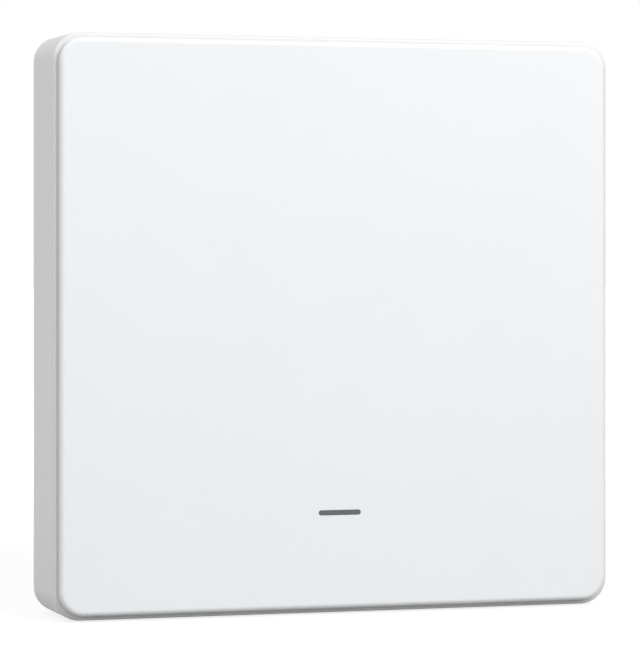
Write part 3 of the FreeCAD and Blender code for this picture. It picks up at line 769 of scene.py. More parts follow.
def makeStops():
    low, high = extent("stop_pads")[:2]
    width, s = frameSizes["stopWidth"], stopSizes
    pads = []
    for x0, x1 in ((low[0], low[0] + width), (high[0] - width, high[0])):
        pads.append(boxBlock([x0, *low[1:]], [x1, *high[1:]], s["corner"], 0.0, s["edge"]))
    return gather(pads)


# Circuit board and its screws

boardSizes = {"corner": 0.6, "holeRadius": 1.1}
screwSizes = {
    "headRadius": 1.9,
    "headHeight": 1.3,
    "headRound": 0.8,
    "crest": 0.9,
    "core": 0.68,
    "pitch": 0.6,
    "crossLength": 2.2,
    "crossWidth": 0.42,
    "crossDepth": 0.75,
}


def makeCircuitBoard():
    s = boardSizes
    back, front = boardBack - over, boardFront + over
    holes = [drum(s["holeRadius"], back, front, x, screwZ, 64) for x in (-screwX, screwX)]
    return combine(nodeBlock("circuit_board", s["corner"]), removed=holes)


def makeScrew(x, tip):
    # Domed head with a cross recess, and a shank whose radius is core + depth * triangle wave of
    # height / pitch - turn, which winds the thread round it
    s = screwSizes
    headBack = boardBack - s["headHeight"]
    rows = rim(s["headRadius"], risingEdge(s["headRound"], headBack, 10))
    rows.append((s["headRadius"], boardBack))
    steps = 64
    turn = np.arange(steps) / steps
    for height in np.arange(boardBack, tip - s["pitch"], s["pitch"] / 8):
        wave = 1 - np.abs(2 * np.mod(height / s["pitch"] - turn, 1.0) - 1)
        rows.append((s["core"] + (s["crest"] - s["core"]) * wave, height))
    rows += [(s["core"], tip - s["pitch"] * 0.7), (s["core"] * 0.5, tip)]
    long, half, deep = s["crossLength"] / 2, s["crossWidth"] / 2, headBack + s["crossDepth"]
    cross = []
    for a, b in ((long, half), (half, long)):
        cross.append(bar(x - a, x + a, headBack - over, deep, screwZ - b, screwZ + b))
    return combine(lathe(rows, x, screwZ, steps), removed=cross)


def makeScrews():
    tip = extent("board_screws")[3]
    return gather([makeScrew(x, tip) for x in (-screwX, screwX)])


# Tact switch

tactSizes = {
    "baseCorner": 0.5,
    "baseEdge": 0.06,
    "wellRadius": 2.3,
    "wellDepth": 2.0,
    "coverSheet": 0.3,
    "coverCorner": 0.4,
    "coverEdge": 0.05,
    "tabHalf": 1.5,
    "tabBend": 0.15,
    "tabRoot": 0.8,
    "tabSheet": 0.98,           # of the cover's sheet, so that no faces coincide
    "holeRadius": 1.8,
    "stemRadius": 1.7,
    "stemEdge": 0.25,
    "flangeRadius": 2.2,
    "flangeHeight": 0.95,
    "flangeGap": 0.05,
    "flangeEdge": 0.05,
    "nubRadius": 0.8,
    "nubEdge": 0.1,
    "domeThickness": 0.1,
    "domeMiddle": 0.04,         # share of the radius that the flat top takes
    "footHalf": 0.35,
    "footPitch": 4.5,
    "footSheet": 0.2,
    "footBend": 0.2,
}


def makeTactBase():
    s = tactSizes
    front = extent("tact_base")[3]
    well = drum(s["wellRadius"], front - s["wellDepth"], front + over, 0.0, tactZ)
    return combine(nodeBlock("tact_base", s["baseCorner"], 0.0, s["baseEdge"]), removed=[well])


def makeTactCover():
    s = tactSizes
    high, back, front = extent("tact_cover")[1:]
    sheetBack, line = front - s["coverSheet"], front - s["coverSheet"] / 2
    half, side = high[0], high[2] - tactZ - s["coverSheet"] / 2
    cover = prism(half, half, s["coverCorner"], sheetBack, front, 0.0, tactZ, s["coverEdge"])
    tabs = []
    for sign in (-1, 1):
        path = [(sign * (half - s["tabRoot"]), line), (sign * side, line), (sign * side, back)]
        points = bentStrip(path, s["coverSheet"] * s["tabSheet"], s["tabBend"]) + [tactZ, 0.0]
        tabs.append(profileX(points, -s["tabHalf"], s["tabHalf"]))
    return combine(cover, tabs, [drum(s["holeRadius"], sheetBack - over, front + over, 0.0, tactZ)])


def makeTactPlunger():
    s = tactSizes
    back, front = extent("tact_plunger")[2:]
    nub, nubEdge, flange, edge = s["nubRadius"], s["nubEdge"], s["flangeRadius"], s["flangeEdge"]
    flangeFront = extent("tact_base")[3] - s["flangeGap"]
    flangeBack = flangeFront - s["flangeHeight"]
    rows = [(nub - nubEdge, back), (nub, back + nubEdge), (nub, flangeBack)]
    rows += [(flange - edge, flangeBack), (flange, flangeBack + edge)]
    rows += [(flange, flangeFront - edge), (flange - edge, flangeFront), (s["stemRadius"], flangeFront)]
    rows += rim(s["stemRadius"], fallingEdge(s["stemEdge"], front))
    return lathe(rows, 0.0, tactZ)


def makeTactDome():
    # Height falls with the square of the radius from the middle to the rim, inside and outside
    high, seat, top = extent("tact_dome")[1:]
    radius, sheet = high[0], tactSizes["domeThickness"]
    fall = top - seat - sheet
    parts = np.linspace(tactSizes["domeMiddle"], 1.0, 14)
    rows = [(radius * part, top - sheet - fall * part ** 2) for part in parts]
    rows += [(radius * part, top - fall * part ** 2) for part in parts[::-1]]
    return lathe(rows, 0.0, tactZ)


def makeTerminals():
    s = tactSizes
    high, back, front = extent("tact_terminals")[1:]
    half = s["footSheet"] / 2
    upright, foot = extent("tact_base")[1][0] + half, back + half
    legs = []
    for side in (-1, 1):
        path = [(side * upright, front), (side * upright, foot), (side * high[0], foot)]
        points = bentStrip(path, s["footSheet"], s["footBend"])
        for z in (tactZ - s["footPitch"] / 2, tactZ + s["footPitch"] / 2):
            legs.append(profileZ(points, z - s["footHalf"], z + s["footHalf"]))
    return gather(legs)


# Indicator lamp

ledSizes = {"baseHeight": 0.3, "baseCorner": 0.1, "inset": 0.2, "corner": 0.15, "edge": 0.12, "root": 0.1}


def makeIndicatorLamp():
    s = ledSizes
    low, high, back = extent("indicator_lamp")[:3]
    step, inset = back + s["baseHeight"], s["inset"]
    base = boxBlock([low[0], -step, low[2]], high, s["baseCorner"])
    windowLow = [low[0] + inset, low[1], low[2] + inset]
    windowHigh = [high[0] - inset, s["root"] - step, high[2] - inset]
    return combine(base, [boxBlock(windowLow, windowHigh, s["corner"], 0.0, s["edge"])])


# Coin cell, its holder and its contacts

cellSizes = {
    "backEdge": 0.45,
    "crimpEdge": 0.4,
    "capRadius": 8.7,
    "capRise": 0.35,
    "capEdge": 0.25,
    "gasket": 0.28,
    "gasketDepth": 0.3,
    "dishRadius": 6.6,
    "dishDepth": 0.06,
    "dishWall": 0.3,
}
holderSizes = {"corner": 3.0, "wall": 1.2, "mouth": 13.0, "baseFront": 1.1, "strip": 5.0, "edge": 0.2}
contactSizes = {"sheet": 0.3, "bend": 0.45}


def makeCoinCell():
    c = cellSizes
    low, high, back, front = extent("coin_cell")
    radius, cap = (high[0] - low[0]) / 2, c["capRadius"]
    shoulder = front - c["capRise"]
    seal = shoulder - c["gasketDepth"]
    rows = [(c["dishRadius"] - c["dishWall"], back + c["dishDepth"]), (c["dishRadius"], back)]
    rows += rim(radius, risingEdge(c["backEdge"], back) + fallingEdge(c["crimpEdge"], shoulder))
    rows += [(cap + c["gasket"], shoulder), (cap + c["gasket"], seal), (cap, seal)]
    rows += rim(cap, fallingEdge(c["capEdge"], front, 6))
    return lathe(rows, *centerOf("coin_cell"), 128)


def makeCellHolder():
    h = holderSizes
    low, high, back, front = extent("cell_holder")
    x, z = centerOf("cell_holder")
    outer = (high[0] - low[0]) / 2
    inner, floor = outer - h["wall"], front - h["baseFront"]
    half, strip = h["mouth"] / 2, h["strip"] / 2
    removed = [drum(inner, back - over, floor, x, z, 128)]
    removed.append(bar(x - half, x + half, back - over, floor, z - outer - over, z))
    removed.append(bar(x - strip, x + strip, back - over, front + over, z + inner, z + outer + over))
    return combine(nodeBlock("cell_holder", h["corner"], h["edge"]), removed=removed)


def makePositiveContact():
    c = contactSizes
    low, high, back, front = extent("cell_positive_contact")
    half = c["sheet"] / 2
    upright = high[2] - holderSizes["wall"] - half
    path = [(low[2], back + half), (upright, back + half), (upright, front - half), (high[2], front - half)]
    return profileX(bentStrip(path, c["sheet"], c["bend"]), low[0], high[0])


# Radio module and small parts

radioSizes = {
    "canCorner": 0.5,
    "canEdge": 0.2,
    "canSheet": 0.2,
    "chipCorner": 0.06,
    "chipEdge": 0.06,
    "dotRadius": 0.28,
    "dotInset": 0.8,
    "dotDepth": 0.06,
}
chipSizes = {"width": 0.8, "pitch": 3.0, "count": 4, "end": 0.35, "step": 0.02, "edge": 0.07}
blockSizes = {
    # corner and back edge of the pieces that are plain blocks
    "cell_negative_contact": (0.8, 0.0),
    "radio_board": (0.25, 0.0),
    "clock_crystal": (0.4, 0.25),
    "buffer_capacitor": (0.15, 0.35),
}


def makeRadioShield():
    s = radioSizes
    low, high = extent("radio_shield")[:2]
    sheet = s["canSheet"]
    hollow = boxBlock(low + [sheet, -over, sheet], high - sheet, s["canCorner"] - sheet)
    return combine(nodeBlock("radio_shield", s["canCorner"], s["canEdge"]), removed=[hollow])


def makeRadioChip():
    s = radioSizes
    low, high, back = extent("radio_chip")[:3]
    x, z = low[0] + s["dotInset"], high[2] - s["dotInset"]
    dot = drum(s["dotRadius"], back - over, back + s["dotDepth"], x, z, 32)
    return combine(nodeBlock("radio_chip", s["chipCorner"], s["chipEdge"]), removed=[dot])


def makeChips(cadNode):
    # Each part is a run of upright outlines along X: an end cap, a body that is slightly thinner,
    # and the other end cap
    c = chipSizes
    low, high, back, front = extent(cadNode)
    height, halfY = (back + front) / 2, (front - back) / 2
    start, end = low[0], low[0] + c["end"]
    rows = [(start, c["edge"]), (start + c["edge"], 0.0), (end, 0.0), (end, c["step"])]
    rows += [(start + high[0] - x, inset) for x, inset in reversed(rows)]
    parts = []
    for number in range(c["count"]):
        z = high[2] - c["width"] / 2 - number * c["pitch"]
        rings = []
        for x, inset in rows:
            ring = outline(halfY - inset, c["width"] / 2 - inset, c["edge"], 0.0, height, z)
            rings.append(np.stack([np.full(len(ring), x), -ring[:, 0], ring[:, 2]], 1))
        parts.append(stack(rings))
    return gather(parts)


def makeBlock(cadNode):
    return nodeBlock(cadNode, *blockSizes[cadNode])


innerPieces = {
    "middle_frame": ("middleFrame", makeMiddleFrame()),
    "light_pipe": ("lightPipe", makeLightPipe()),
    "stop_pads": ("stopPads", makeStops()),
    "circuit_board": ("circuitBoard", makeCircuitBoard()),
    "board_screws": ("boardScrews", makeScrews()),
    "tact_base": ("tactBase", makeTactBase()),
    "tact_cover": ("tactCover", makeTactCover()),
    "tact_plunger": ("tactPlunger", makeTactPlunger()),
    "tact_dome": ("tactDome", makeTactDome()),
    "tact_terminals": ("tactTerminals", makeTerminals()),
    "indicator_lamp": ("indicatorLamp", makeIndicatorLamp()),
    "coin_cell": ("coinCell", makeCoinCell()),
    "cell_holder": ("cellHolder", makeCellHolder()),
    "cell_negative_contact": ("negativeContact", makeBlock("cell_negative_contact")),
    "cell_positive_contact": ("positiveContact", makePositiveContact()),
    "radio_board": ("radioBoard", makeBlock("radio_board")),
    "radio_shield": ("radioShield", makeRadioShield()),
    "radio_chip": ("radioChip", makeRadioChip()),
    "clock_crystal": ("clockCrystal", makeBlock("clock_crystal")),
    "buffer_capacitor": ("bufferCapacitor", makeBlock("buffer_capacitor")),
    "small_capacitors": ("smallCapacitors", makeChips("small_capacitors")),
    "small_resistors": ("smallResistors", makeChips("small_resistors")),
}
for cadNode, (name, piece) in innerPieces.items():
    finishPiece(cadNode, name, piece, "plunger" if cadNode == "tact_plunger" else "base")
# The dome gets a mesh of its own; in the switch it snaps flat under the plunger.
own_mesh(pieces["tact_dome"])


# Materials

noiseLow, noiseHigh = 0.3, 0.7      # a noise lies mostly between these
slack = 0.01                        # mm that a mask reaches past the edge that it follows


def node(tree, kind, inputs=None, **settings):
    # Inputs that are sockets get a link, and the others a value.
    made = tree.nodes.new(kind)
    for name, value in settings.items():
        setattr(made, name, value)
    for name, value in (inputs or {}).items():
        if isinstance(value, bpy.types.NodeSocket):
            tree.links.new(value, made.inputs[name])
        else:
            made.inputs[name].default_value = value
    return made


def calc(tree, operation, *values):
    return node(tree, "ShaderNodeMath", dict(enumerate(values)), operation=operation).outputs[0]


def length(tree, first, second):
    squares = [calc(tree, "MULTIPLY", value, value) for value in (first, second)]
    return calc(tree, "SQRT", calc(tree, "ADD", *squares))


def scaled(tree, vector, scale):
    return node(tree, "ShaderNodeVectorMath", {0: vector, "Scale": scale}, operation="SCALE").outputs[0]


def blend(tree, factor, first, second):
    # Mix of two colours, each a socket or three numbers
    colors = [(*color, 1.0) if isinstance(color, tuple) else color for color in (first, second)]
    return node(tree, "ShaderNodeMix", {0: factor, 6: colors[0], 7: colors[1]}, data_type="RGBA").outputs[2]


def ramp(tree, value, low, high, start=0.0, end=1.0, **settings):
    # Runs from low to high as the value runs from start to end.
    inputs = {"Value": value, "From Min": start, "From Max": end, "To Min": low, "To Max": high}
    return node(tree, "ShaderNodeMapRange", inputs, **settings).outputs[0]


def noise(tree, vector, scale, detail, roughness=0.5):
    inputs = {"Vector": vector, "Scale": scale, "Detail": detail, "Roughness": roughness}
    return node(tree, "ShaderNodeTexNoise", inputs).outputs["Fac"]


def objectPlace(tree):
    return node(tree, "ShaderNodeTexCoord").outputs["Object"]


def axes(tree, vector):
    return node(tree, "ShaderNodeSeparateXYZ", {0: vector}).outputs


def axesMm(tree):
    # Object coordinates in mm, as three sockets
    return axes(tree, scaled(tree, objectPlace(tree), 1 / mm))


def startGroup(name, inputs):
    # A value of four numbers is a colour, and one of three a vector.
    kinds = {4: "NodeSocketColor", 3: "NodeSocketVector"}
    tree = bpy.data.node_groups.new(name, "ShaderNodeTree")
    for label, value in inputs.items():
        kind = kinds[len(value)] if isinstance(value, tuple) else "NodeSocketFloat"
        tree.interface.new_socket(name=label, in_out="INPUT", socket_type=kind).default_value = value
    return tree, tree.nodes.new("NodeGroupInput").outputs


def finishGroup(tree, results):
    for label in results:
        kind = "NodeSocketColor" if label == "Color" else "NodeSocketFloat"
        tree.interface.new_socket(name=label, in_out="OUTPUT", socket_type=kind)
    node(tree, "NodeGroupOutput", results)
    return tree


def makeMouldedGroup():
    # Moulded plastic: a faint drift of colour, a fine spark-eroded grain and uneven sheen
    tree, given = startGroup("mouldedSkin", {
        "Base": (0.8, 0.8, 0.8, 1.0),
        "Drift": 0.02,
        "Grain Scale": 5200.0,
        "Rough Low": 0.38,
        "Rough High": 0.46,
    })
    place = objectPlace(tree)
    lowest = calc(tree, "SUBTRACT", 1.0, given["Drift"])
    level = ramp(tree, noise(tree, place, 55.0, 2.0), 1.0, lowest, noiseLow, noiseHigh)
    sheen = noise(tree, place, 700.0, 2.0)
    return finishGroup(tree, {
        "Color": scaled(tree, given["Base"], level),
        "Roughness": ramp(tree, sheen, given["Rough Low"], given["Rough High"], noiseLow, noiseHigh),
        "Height": noise(tree, place, given["Grain Scale"], 3.0, 0.6),
    })


def makePlatedGroup():
    # Rolled or plated metal: streaks along one axis, clouds of dull plating and uneven sheen
    tree, given = startGroup("platedSheet", {
        "Base": (0.7, 0.7, 0.7, 1.0),
        "Dull": (0.55, 0.55, 0.54, 1.0),
        "Stretch": (1.0, 1.0, 1.0),
        "Streak Scale": 9000.0,
        "Rough Low": 0.2,
        "Rough High": 0.4,
    })
    place = objectPlace(tree)
    stretched = node(tree, "ShaderNodeVectorMath", {0: place, 1: given["Stretch"]}, operation="MULTIPLY")
    streaks = noise(tree, stretched.outputs[0], given["Streak Scale"], 3.0, 0.6)
    clouds = noise(tree, place, 420.0, 3.0, 0.55)
    both = calc(tree, "MULTIPLY_ADD", clouds, 0.4, calc(tree, "MULTIPLY", streaks, 0.6))
    return finishGroup(tree, {
        "Color": blend(tree, ramp(tree, clouds, 0.0, 1.0, 0.35, 0.7), given["Base"], given["Dull"]),
        "Roughness": ramp(tree, both, given["Rough Low"], given["Rough High"], noiseLow, noiseHigh),
        "Height": streaks,
    })


trackSizes = {
    # in cells of the grid
    "run": 5.0,             # cells from one possible cut to the next
    "half": 0.17,           # half a track's width
    "ring": 0.33,
    "hole": 0.15,
    "bareX": 0.45,          # share of the runs along X with no track
    "bareZ": 0.5,
    "bareVia": 0.9,         # share of the grid points with no ring
    "shift": 71.0,          # keeps the dice of the runs along Z and of the rings apart
    "viaShift": 37.0,
}
tinned = (0.66, 0.64, 0.58)
holeShade = (0.03, 0.03, 0.02)
# painted shade: near black for the inside of a via hole
laminate = (0.34, 0.31, 0.17)


def makeTrackGroup():
    # Solder mask over copper: tracks keep to the rows and columns of a grid and are cut into runs
    # by a random value for each five cells. Some grid points hold a tinned ring with a hole, whose
    # near-black colour is painted shade.
    tree, given = startGroup("maskedBoard", {
        "Mask": (0.02, 0.11, 0.05, 1.0),
        "Over Copper": (0.05, 0.22, 0.1, 1.0),
        "Pitch": 0.9,
    })
    s = trackSizes

    def chance(first, second, limit):
        pair = node(tree, "ShaderNodeCombineXYZ", {0: first, 1: second}).outputs[0]
        dice = node(tree, "ShaderNodeTexWhiteNoise", noise_dimensions="2D")
        tree.links.new(pair, dice.inputs["Vector"])
        return calc(tree, "GREATER_THAN", dice.outputs["Value"], limit)

    def under(value, limit):
        return calc(tree, "LESS_THAN", value, limit)

    def fromCenter(value):
        return calc(tree, "ABSOLUTE", calc(tree, "SUBTRACT", calc(tree, "FRACT", value), 0.5))

    place = axesMm(tree)
    u, v = (calc(tree, "DIVIDE", place[axis], given["Pitch"]) for axis in (0, 2))
    column, row = calc(tree, "FLOOR", u), calc(tree, "FLOOR", v)
    wideU, wideV = (calc(tree, "FLOOR", calc(tree, "DIVIDE", value, s["run"])) for value in (u, v))
    offU, offV = fromCenter(u), fromCenter(v)
    alongX = calc(tree, "MULTIPLY", under(offV, s["half"]), chance(wideU, row, s["bareX"]))
    shifted = calc(tree, "ADD", wideV, s["shift"])
    alongZ = calc(tree, "MULTIPLY", under(offU, s["half"]), chance(column, shifted, s["bareZ"]))
    copper = calc(tree, "MAXIMUM", alongX, alongZ)
    away = length(tree, offU, offV)
    picked = chance(calc(tree, "ADD", column, s["viaShift"]), row, s["bareVia"])
    ring, hole = (calc(tree, "MULTIPLY", picked, under(away, s[label])) for label in ("ring", "hole"))
    # The cut edges of the board show bare laminate.
    normal = axes(tree, node(tree, "ShaderNodeTexCoord").outputs["Normal"])
    edge = under(calc(tree, "ABSOLUTE", normal[1]), 0.5)
    flat = calc(tree, "SUBTRACT", 1.0, edge)
    color = blend(tree, copper, given["Mask"], given["Over Copper"])
    color = blend(tree, ring, color, tinned)
    # Painted shade: each via hole is coloured near black
    color = blend(tree, hole, color, holeShade)
    raised = calc(tree, "SUBTRACT", calc(tree, "ADD", copper, ring), hole)
    return finishGroup(tree, {
        "Color": blend(tree, edge, color, laminate),
        "Metallic": calc(tree, "MULTIPLY", flat, calc(tree, "SUBTRACT", ring, hole)),
        "Roughness": ramp(tree, noise(tree, objectPlace(tree), 1400.0, 2.0), 0.25, 0.42),
        "Height": calc(tree, "MULTIPLY", flat, raised),
    })


mouldedSkin, platedSheet, maskedBoard = makeMouldedGroup(), makePlatedGroup(), makeTrackGroup()


def startMaterial(name):
    material = bpy.data.materials.new(name)
    material.use_nodes = True
    material.node_tree.nodes.clear()
    return material, material.node_tree


def dressed(name, group, groupValues, shaderValues, depth, strength=0.5):
    # A Principled material that takes what a group puts out
    material, tree = startMaterial(name)
    skin = node(tree, "ShaderNodeGroup", groupValues, node_tree=group).outputs
    relief = {"Height": skin["Height"], "Distance": depth * mm, "Strength": strength}
    bump = node(tree, "ShaderNodeBump", relief)
    inputs = {"Base Color": skin["Color"], "Roughness": skin["Roughness"], "Normal": bump.outputs[0]}
    if "Metallic" in skin.keys():
        inputs["Metallic"] = skin["Metallic"]
    shader = node(tree, "ShaderNodeBsdfPrincipled", {**inputs, **shaderValues})
    node(tree, "ShaderNodeOutputMaterial", {"Surface": shader.outputs[0]})
    return material


def moulded(name, base, rough=(0.38, 0.46), drift=0.012, grain=5200.0, depth=0.004, shaderValues=None):
    values = {"Base": (*base, 1.0), "Drift": drift, "Grain Scale": grain}
    values.update({"Rough Low": rough[0], "Rough High": rough[1]})
    return dressed(name, mouldedSkin, values, shaderValues or {}, depth)


def plated(name, base, dull, rough, stretch=(1.0, 1.0, 1.0), streaks=9000.0):
    values = {"Base": (*base, 1.0), "Dull": (*dull, 1.0), "Stretch": stretch, "Streak Scale": streaks}
    values.update({"Rough Low": rough[0], "Rough High": rough[1]})
    return dressed(name, platedSheet, values, {"Metallic": 1.0}, 0.002)


def maskedLaminate(name, mask, overCopper, pitch):
    values = {"Mask": (*mask, 1.0), "Over Copper": (*overCopper, 1.0), "Pitch": pitch}
    return dressed(name, maskedBoard, values, {"Coat Weight": 0.3, "Coat Roughness": 0.2}, 0.03, 0.8)


def inside(material):
    # The tree of a material and its nodes by kind
    tree = material.node_tree
    return tree, {item.bl_idname: item for item in tree.nodes}


def repaint(material, mask, color, metallic=None):
    # Another colour where a mask is 1, and perhaps its own metalness
    tree, found = inside(material)
    base, shader = found["ShaderNodeGroup"].outputs["Color"], found["ShaderNodeBsdfPrincipled"]
    tree.links.new(blend(tree, mask, base, color), shader.inputs["Base Color"])
    if metallic:
        tree.links.new(metallic, shader.inputs["Metallic"])
    return material


def capEnds(material, cadNode):
    # Tinned metal past a distance from the middle of the row
    tree = material.node_tree
    low, high = extent(cadNode)[:2]
    away = calc(tree, "ABSOLUTE", calc(tree, "SUBTRACT", axesMm(tree)[0], float(low[0] + high[0]) / 2))
    ends = calc(tree, "GREATER_THAN", away, float(high[0] - low[0]) / 2 - chipSizes["end"])
    return repaint(material, ends, (0.68, 0.67, 0.64), ends)


def makeLampResin():
    # Yellow phosphor behind the clear window, in front of a white base
    material = moulded("lampResin", (0.86, 0.86, 0.84), (0.2, 0.3), 0.03, 5200.0, 0.002, {"Coat Weight": 0.6})
    tree = material.node_tree
    height = calc(tree, "MULTIPLY", axesMm(tree)[1], -1.0)
    step = float(extent("indicator_lamp")[2]) + ledSizes["baseHeight"] + slack
    return repaint(material, calc(tree, "GREATER_THAN", height, step), (0.78, 0.76, 0.5))


def makeBufferEpoxy():
    # A dark band marks one end.
    bandWidth = 1.5
    material = moulded("bufferEpoxy", (0.7, 0.44, 0.07), (0.4, 0.52), 0.12, 3000.0, 0.006)
    tree = material.node_tree
    start = float(extent("buffer_capacitor")[1][0]) - bandWidth
    return repaint(material, calc(tree, "GREATER_THAN", axesMm(tree)[0], start), (0.25, 0.09, 0.02))


def makeCellSteel():
    # Nickel plate, and the dark seal in the gap round the cap
    c, floorSlack = cellSizes, 0.05
    material = plated("cellSteel", (0.66, 0.655, 0.64), (0.56, 0.555, 0.54), (0.2, 0.34))
    tree = material.node_tree
    centerX, centerZ = centerOf("coin_cell")
    x, y, z = axesMm(tree)
    across, up = calc(tree, "SUBTRACT", x, float(centerX)), calc(tree, "SUBTRACT", z, float(centerZ))
    half = c["gasket"] / 2
    gap = calc(tree, "COMPARE", length(tree, across, up), c["capRadius"] + half, half + slack)
    # Heights run to the front as -y, and the seal lies in front of the can's middle.
    deepest = -float(extent("coin_cell")[3]) + c["capRise"] + c["gasketDepth"] + floorSlack
    seal = calc(tree, "MULTIPLY", gap, calc(tree, "LESS_THAN", y, deepest))
    return repaint(material, seal, (0.05, 0.05, 0.055), calc(tree, "SUBTRACT", 1.0, seal))


def makeFoam():
    # Open cells seen on the cut edges and faintly through the liner side, with painted shade that darkens the
    # hollow of each cell
    material = moulded("foamTape", (0.72, 0.72, 0.7), (0.6, 0.75), 0.06, 1500.0, 0.05)
    tree, found = inside(material)
    inputs = {"Vector": objectPlace(tree), "Scale": 3200.0}
    cells = node(tree, "ShaderNodeTexVoronoi", inputs, feature="SMOOTH_F1")
    distance, skin = cells.outputs["Distance"], found["ShaderNodeGroup"].outputs
    height = calc(tree, "MULTIPLY_ADD", distance, 0.8, skin["Height"])
    tree.links.new(height, found["ShaderNodeBump"].inputs["Height"])
    # Painted shade: the colour darkens towards the middle of each cell, where the bump makes its hollow
    color = blend(tree, ramp(tree, distance, 0.0, 1.0, 0.0, 0.6), (0.62, 0.62, 0.6), skin["Color"])
    tree.links.new(color, found["ShaderNodeBsdfPrincipled"].inputs["Base Color"])
    return material


clear = {"Transmission Weight": 1.0, "IOR": 1.49}
steel = (0.66, 0.65, 0.62), (0.52, 0.51, 0.48)
tin = (0.72, 0.715, 0.7), (0.6, 0.595, 0.58)
zinc = (0.64, 0.65, 0.67), (0.5, 0.5, 0.5)
crystalTin = (0.74, 0.73, 0.7), tin[1]
ceramic = moulded("firedCeramic", (0.5, 0.36, 0.22), (0.35, 0.5), 0.12, 3600.0)
glaze = moulded("resistorGlaze", (0.045, 0.045, 0.05), (0.3, 0.42), 0.2, 3600.0)
finishes = {
    "key_plate": moulded("satinKeyWhite", (0.875, 0.892, 0.908)),
    "rear_housing": moulded("satinHousingWhite", (0.805, 0.805, 0.805)),
    "indicator_lens": moulded("smokedLens", (0.118, 0.12, 0.125), (0.3, 0.36)),
    "adhesive_pad": makeFoam(),
    "middle_frame": moulded("naturalFrameWhite", (0.8, 0.8, 0.79), (0.36, 0.46), 0.03, 4200.0),
    "light_pipe": moulded("clearPipe", (0.93, 0.94, 0.95), (0.06, 0.14), 0.02, 2600.0, 0.002, clear),
    "stop_pads": moulded("stopRubber", (0.3, 0.3, 0.31), (0.72, 0.86), 0.1, 3800.0, 0.01),
    "circuit_board": maskedLaminate("greenBoard", (0.014, 0.1, 0.045), (0.03, 0.2, 0.09), 0.9),
    "radio_board": maskedLaminate("blueBoard", (0.012, 0.035, 0.09), (0.03, 0.08, 0.2), 0.5),
    "board_screws": plated("zincSteel", *zinc, (0.24, 0.42), (1.0, 0.1, 1.0), 6000.0),
    "tact_base": moulded("tactBlack", (0.028, 0.028, 0.03), (0.42, 0.55), 0.2, 4800.0, 0.005),
    "tact_plunger": moulded("plungerBlack", (0.04, 0.04, 0.042), (0.34, 0.46), 0.2, 4200.0, 0.003),
    "tact_cover": plated("pressedTin", *tin, (0.22, 0.36), (1.0, 1.0, 0.06)),
    "tact_terminals": plated("terminalTin", *tin, (0.25, 0.4), (0.1, 1.0, 1.0)),
    "tact_dome": plated("springDome", *steel, (0.16, 0.28), (0.08, 1.0, 1.0)),
    "cell_negative_contact": plated("leafSteel", *steel, (0.18, 0.32), (1.0, 1.0, 0.05)),
    "cell_positive_contact": plated("clipSteel", *steel, (0.18, 0.32), (1.0, 0.05, 0.05)),
    "coin_cell": makeCellSteel(),
    "cell_holder": moulded("holderBlack", (0.03, 0.03, 0.03), (0.4, 0.54), 0.25, 3600.0, 0.006),
    "indicator_lamp": makeLampResin(),
    "radio_shield": plated("shieldTin", *tin, (0.24, 0.4), (0.05, 1.0, 1.0)),
    "radio_chip": moulded("chipEpoxy", (0.035, 0.035, 0.037), (0.5, 0.62), 0.25, 6000.0, 0.006),
    "clock_crystal": plated("crystalCan", *crystalTin, (0.18, 0.3), (0.08, 1.0, 1.0)),
    "buffer_capacitor": makeBufferEpoxy(),
    "small_capacitors": capEnds(ceramic, "small_capacitors"),
    "small_resistors": capEnds(glaze, "small_resistors"),
}
for cadNode, piece in pieces.items():
    piece.data.materials.clear()
    piece.data.materials.append(finishes[cadNode])
print("materials made")


# Stage

stageSizes = {
    "floorHalf": 4.0,
    "floorColor": 0.3,
    "floorLift": 0.8,       # glow near the object, which leaves room for its shadow
    "liftStart": 0.08,      # m from the centre where the glow starts to rise to 1
    "liftEnd": 0.34,
    "skyLevel": 0.425,
    "lampWidth": 0.45,
}
lampSizes = {
    # degrees round from the front, degrees up, distance in m and power in W
    "rightFront": (30, 30, 0.8, 3.74),
    "leftFront": (-45, 30, 0.6, 1.07),
    "leftBack": (-110, 30, 0.8, 0.42),
    "rightLow": (40, 15, 0.8, 0.25),
}
cameraSizes = {
    "turn": 15.61,          # degrees round the object from straight on
    "distance": 435.55,     # mm from the camera to the axis point below
    "offset": 2.54,         # mm that the axis point lies right of the view line
    "height": 10.84,        # mm above the object's centre
    "focal": 2928.7,        # in pixels of a 640 by 653 image
    "horizon": 251.8,       # pixel row of the optical axis
    "imageHeight": 653,
}


def backdropRays(tree):
    # 1 where the camera, a reflection or a transmitted ray looks
    rays = node(tree, "ShaderNodeLightPath").outputs
    seen = calc(tree, "MAXIMUM", rays["Is Camera Ray"], rays["Is Glossy Ray"])
    return calc(tree, "MAXIMUM", seen, rays["Is Transmission Ray"])


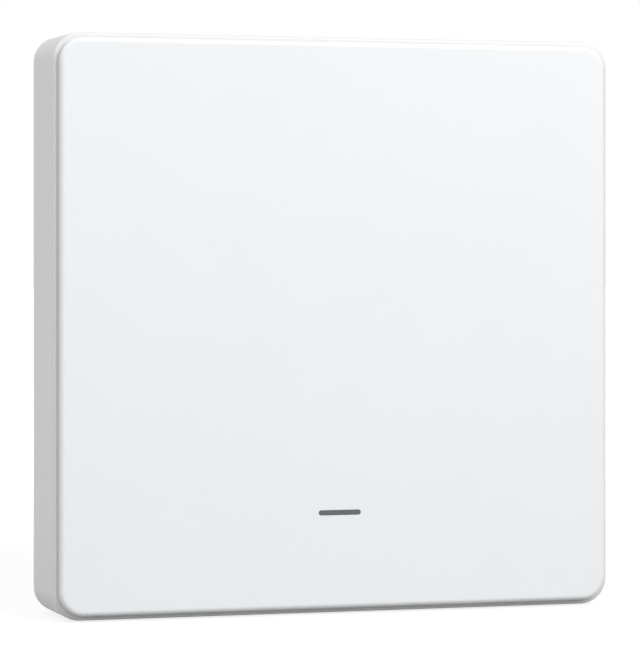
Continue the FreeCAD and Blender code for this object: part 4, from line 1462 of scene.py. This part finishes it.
def makeFloor():
    s = stageSizes
    side = np.linspace(-s["floorHalf"], s["floorHalf"], 3)
    x, y = np.meshgrid(side, side)
    points = np.stack([x.ravel(), y.ravel(), np.full(x.size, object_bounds()[0].z)], 1)
    mesh = bpy.data.meshes.new("floor")
    mesh.from_pydata(points.tolist(), [], [[0, 1, 4, 3], [1, 2, 5, 4], [3, 4, 7, 6], [4, 5, 8, 7]])
    floor = linked("floor", mesh)
    material, tree = startMaterial("paleFloor")
    color = (s["floorColor"], s["floorColor"], s["floorColor"], 1.0)
    matt = node(tree, "ShaderNodeBsdfDiffuse", {"Color": color}).outputs[0]
    away = node(tree, "ShaderNodeVectorMath", {0: objectPlace(tree)}, operation="LENGTH").outputs["Value"]
    start, end = s["liftStart"], s["liftEnd"]
    level = ramp(tree, away, s["floorLift"], 1.0, start, end, interpolation_type="SMOOTHSTEP")
    lift = node(tree, "ShaderNodeEmission", {"Strength": level}).outputs[0]
    both = node(tree, "ShaderNodeAddShader", {0: matt, 1: lift}).outputs[0]
    mix = node(tree, "ShaderNodeMixShader", {0: backdropRays(tree), 1: matt, 2: both}).outputs[0]
    node(tree, "ShaderNodeOutputMaterial", {"Surface": mix})
    floor.data.materials.append(material)


def makeSky():
    world = bpy.data.worlds.new("studio")
    bpy.context.scene.world = world
    world.use_nodes = True
    tree = world.node_tree
    tree.nodes.clear()
    level = ramp(tree, backdropRays(tree), stageSizes["skyLevel"], 1.0)
    sky = node(tree, "ShaderNodeBackground", {"Color": (1.0, 1.0, 1.0, 1.0), "Strength": level})
    node(tree, "ShaderNodeOutputWorld", {"Surface": sky.outputs[0]})


def makeLamp(name, turn, tilt, distance, power):
    light = bpy.data.lights.new(name, "AREA")
    light.size = stageSizes["lampWidth"]
    light.energy = power
    lamp = linked(name, light)
    turn, tilt = math.radians(turn), math.radians(tilt)
    level = distance * math.cos(tilt)
    lamp.location = (level * math.sin(turn), -level * math.cos(turn), distance * math.sin(tilt))
    lamp.rotation_euler = (-lamp.location).to_track_quat("-Z", "Y").to_euler()


def makeCamera():
    c = cameraSizes
    turn = math.radians(c["turn"])
    across = -c["offset"] * math.cos(turn) - c["distance"] * math.sin(turn)
    back = c["offset"] * math.sin(turn) - c["distance"] * math.cos(turn)
    view = bpy.data.cameras.new("camera")
    view.sensor_width = 36.0
    view.lens = c["focal"] * view.sensor_width / c["imageHeight"]
    view.shift_y = (c["horizon"] - c["imageHeight"] / 2) / c["imageHeight"]
    view.clip_start = 0.02
    view.clip_end = 20.0
    camera = linked("camera", view)
    camera.location = (across * mm, (back - rimFront) * mm, c["height"] * mm)
    camera.rotation_euler = (math.pi / 2, 0.0, -turn)
    bpy.context.scene.camera = camera


makeFloor()
makeSky()
for name, sizes in lampSizes.items():
    makeLamp(name, *sizes)
makeCamera()
bpy.context.scene.view_settings.view_transform = "Standard"
print("stage set")
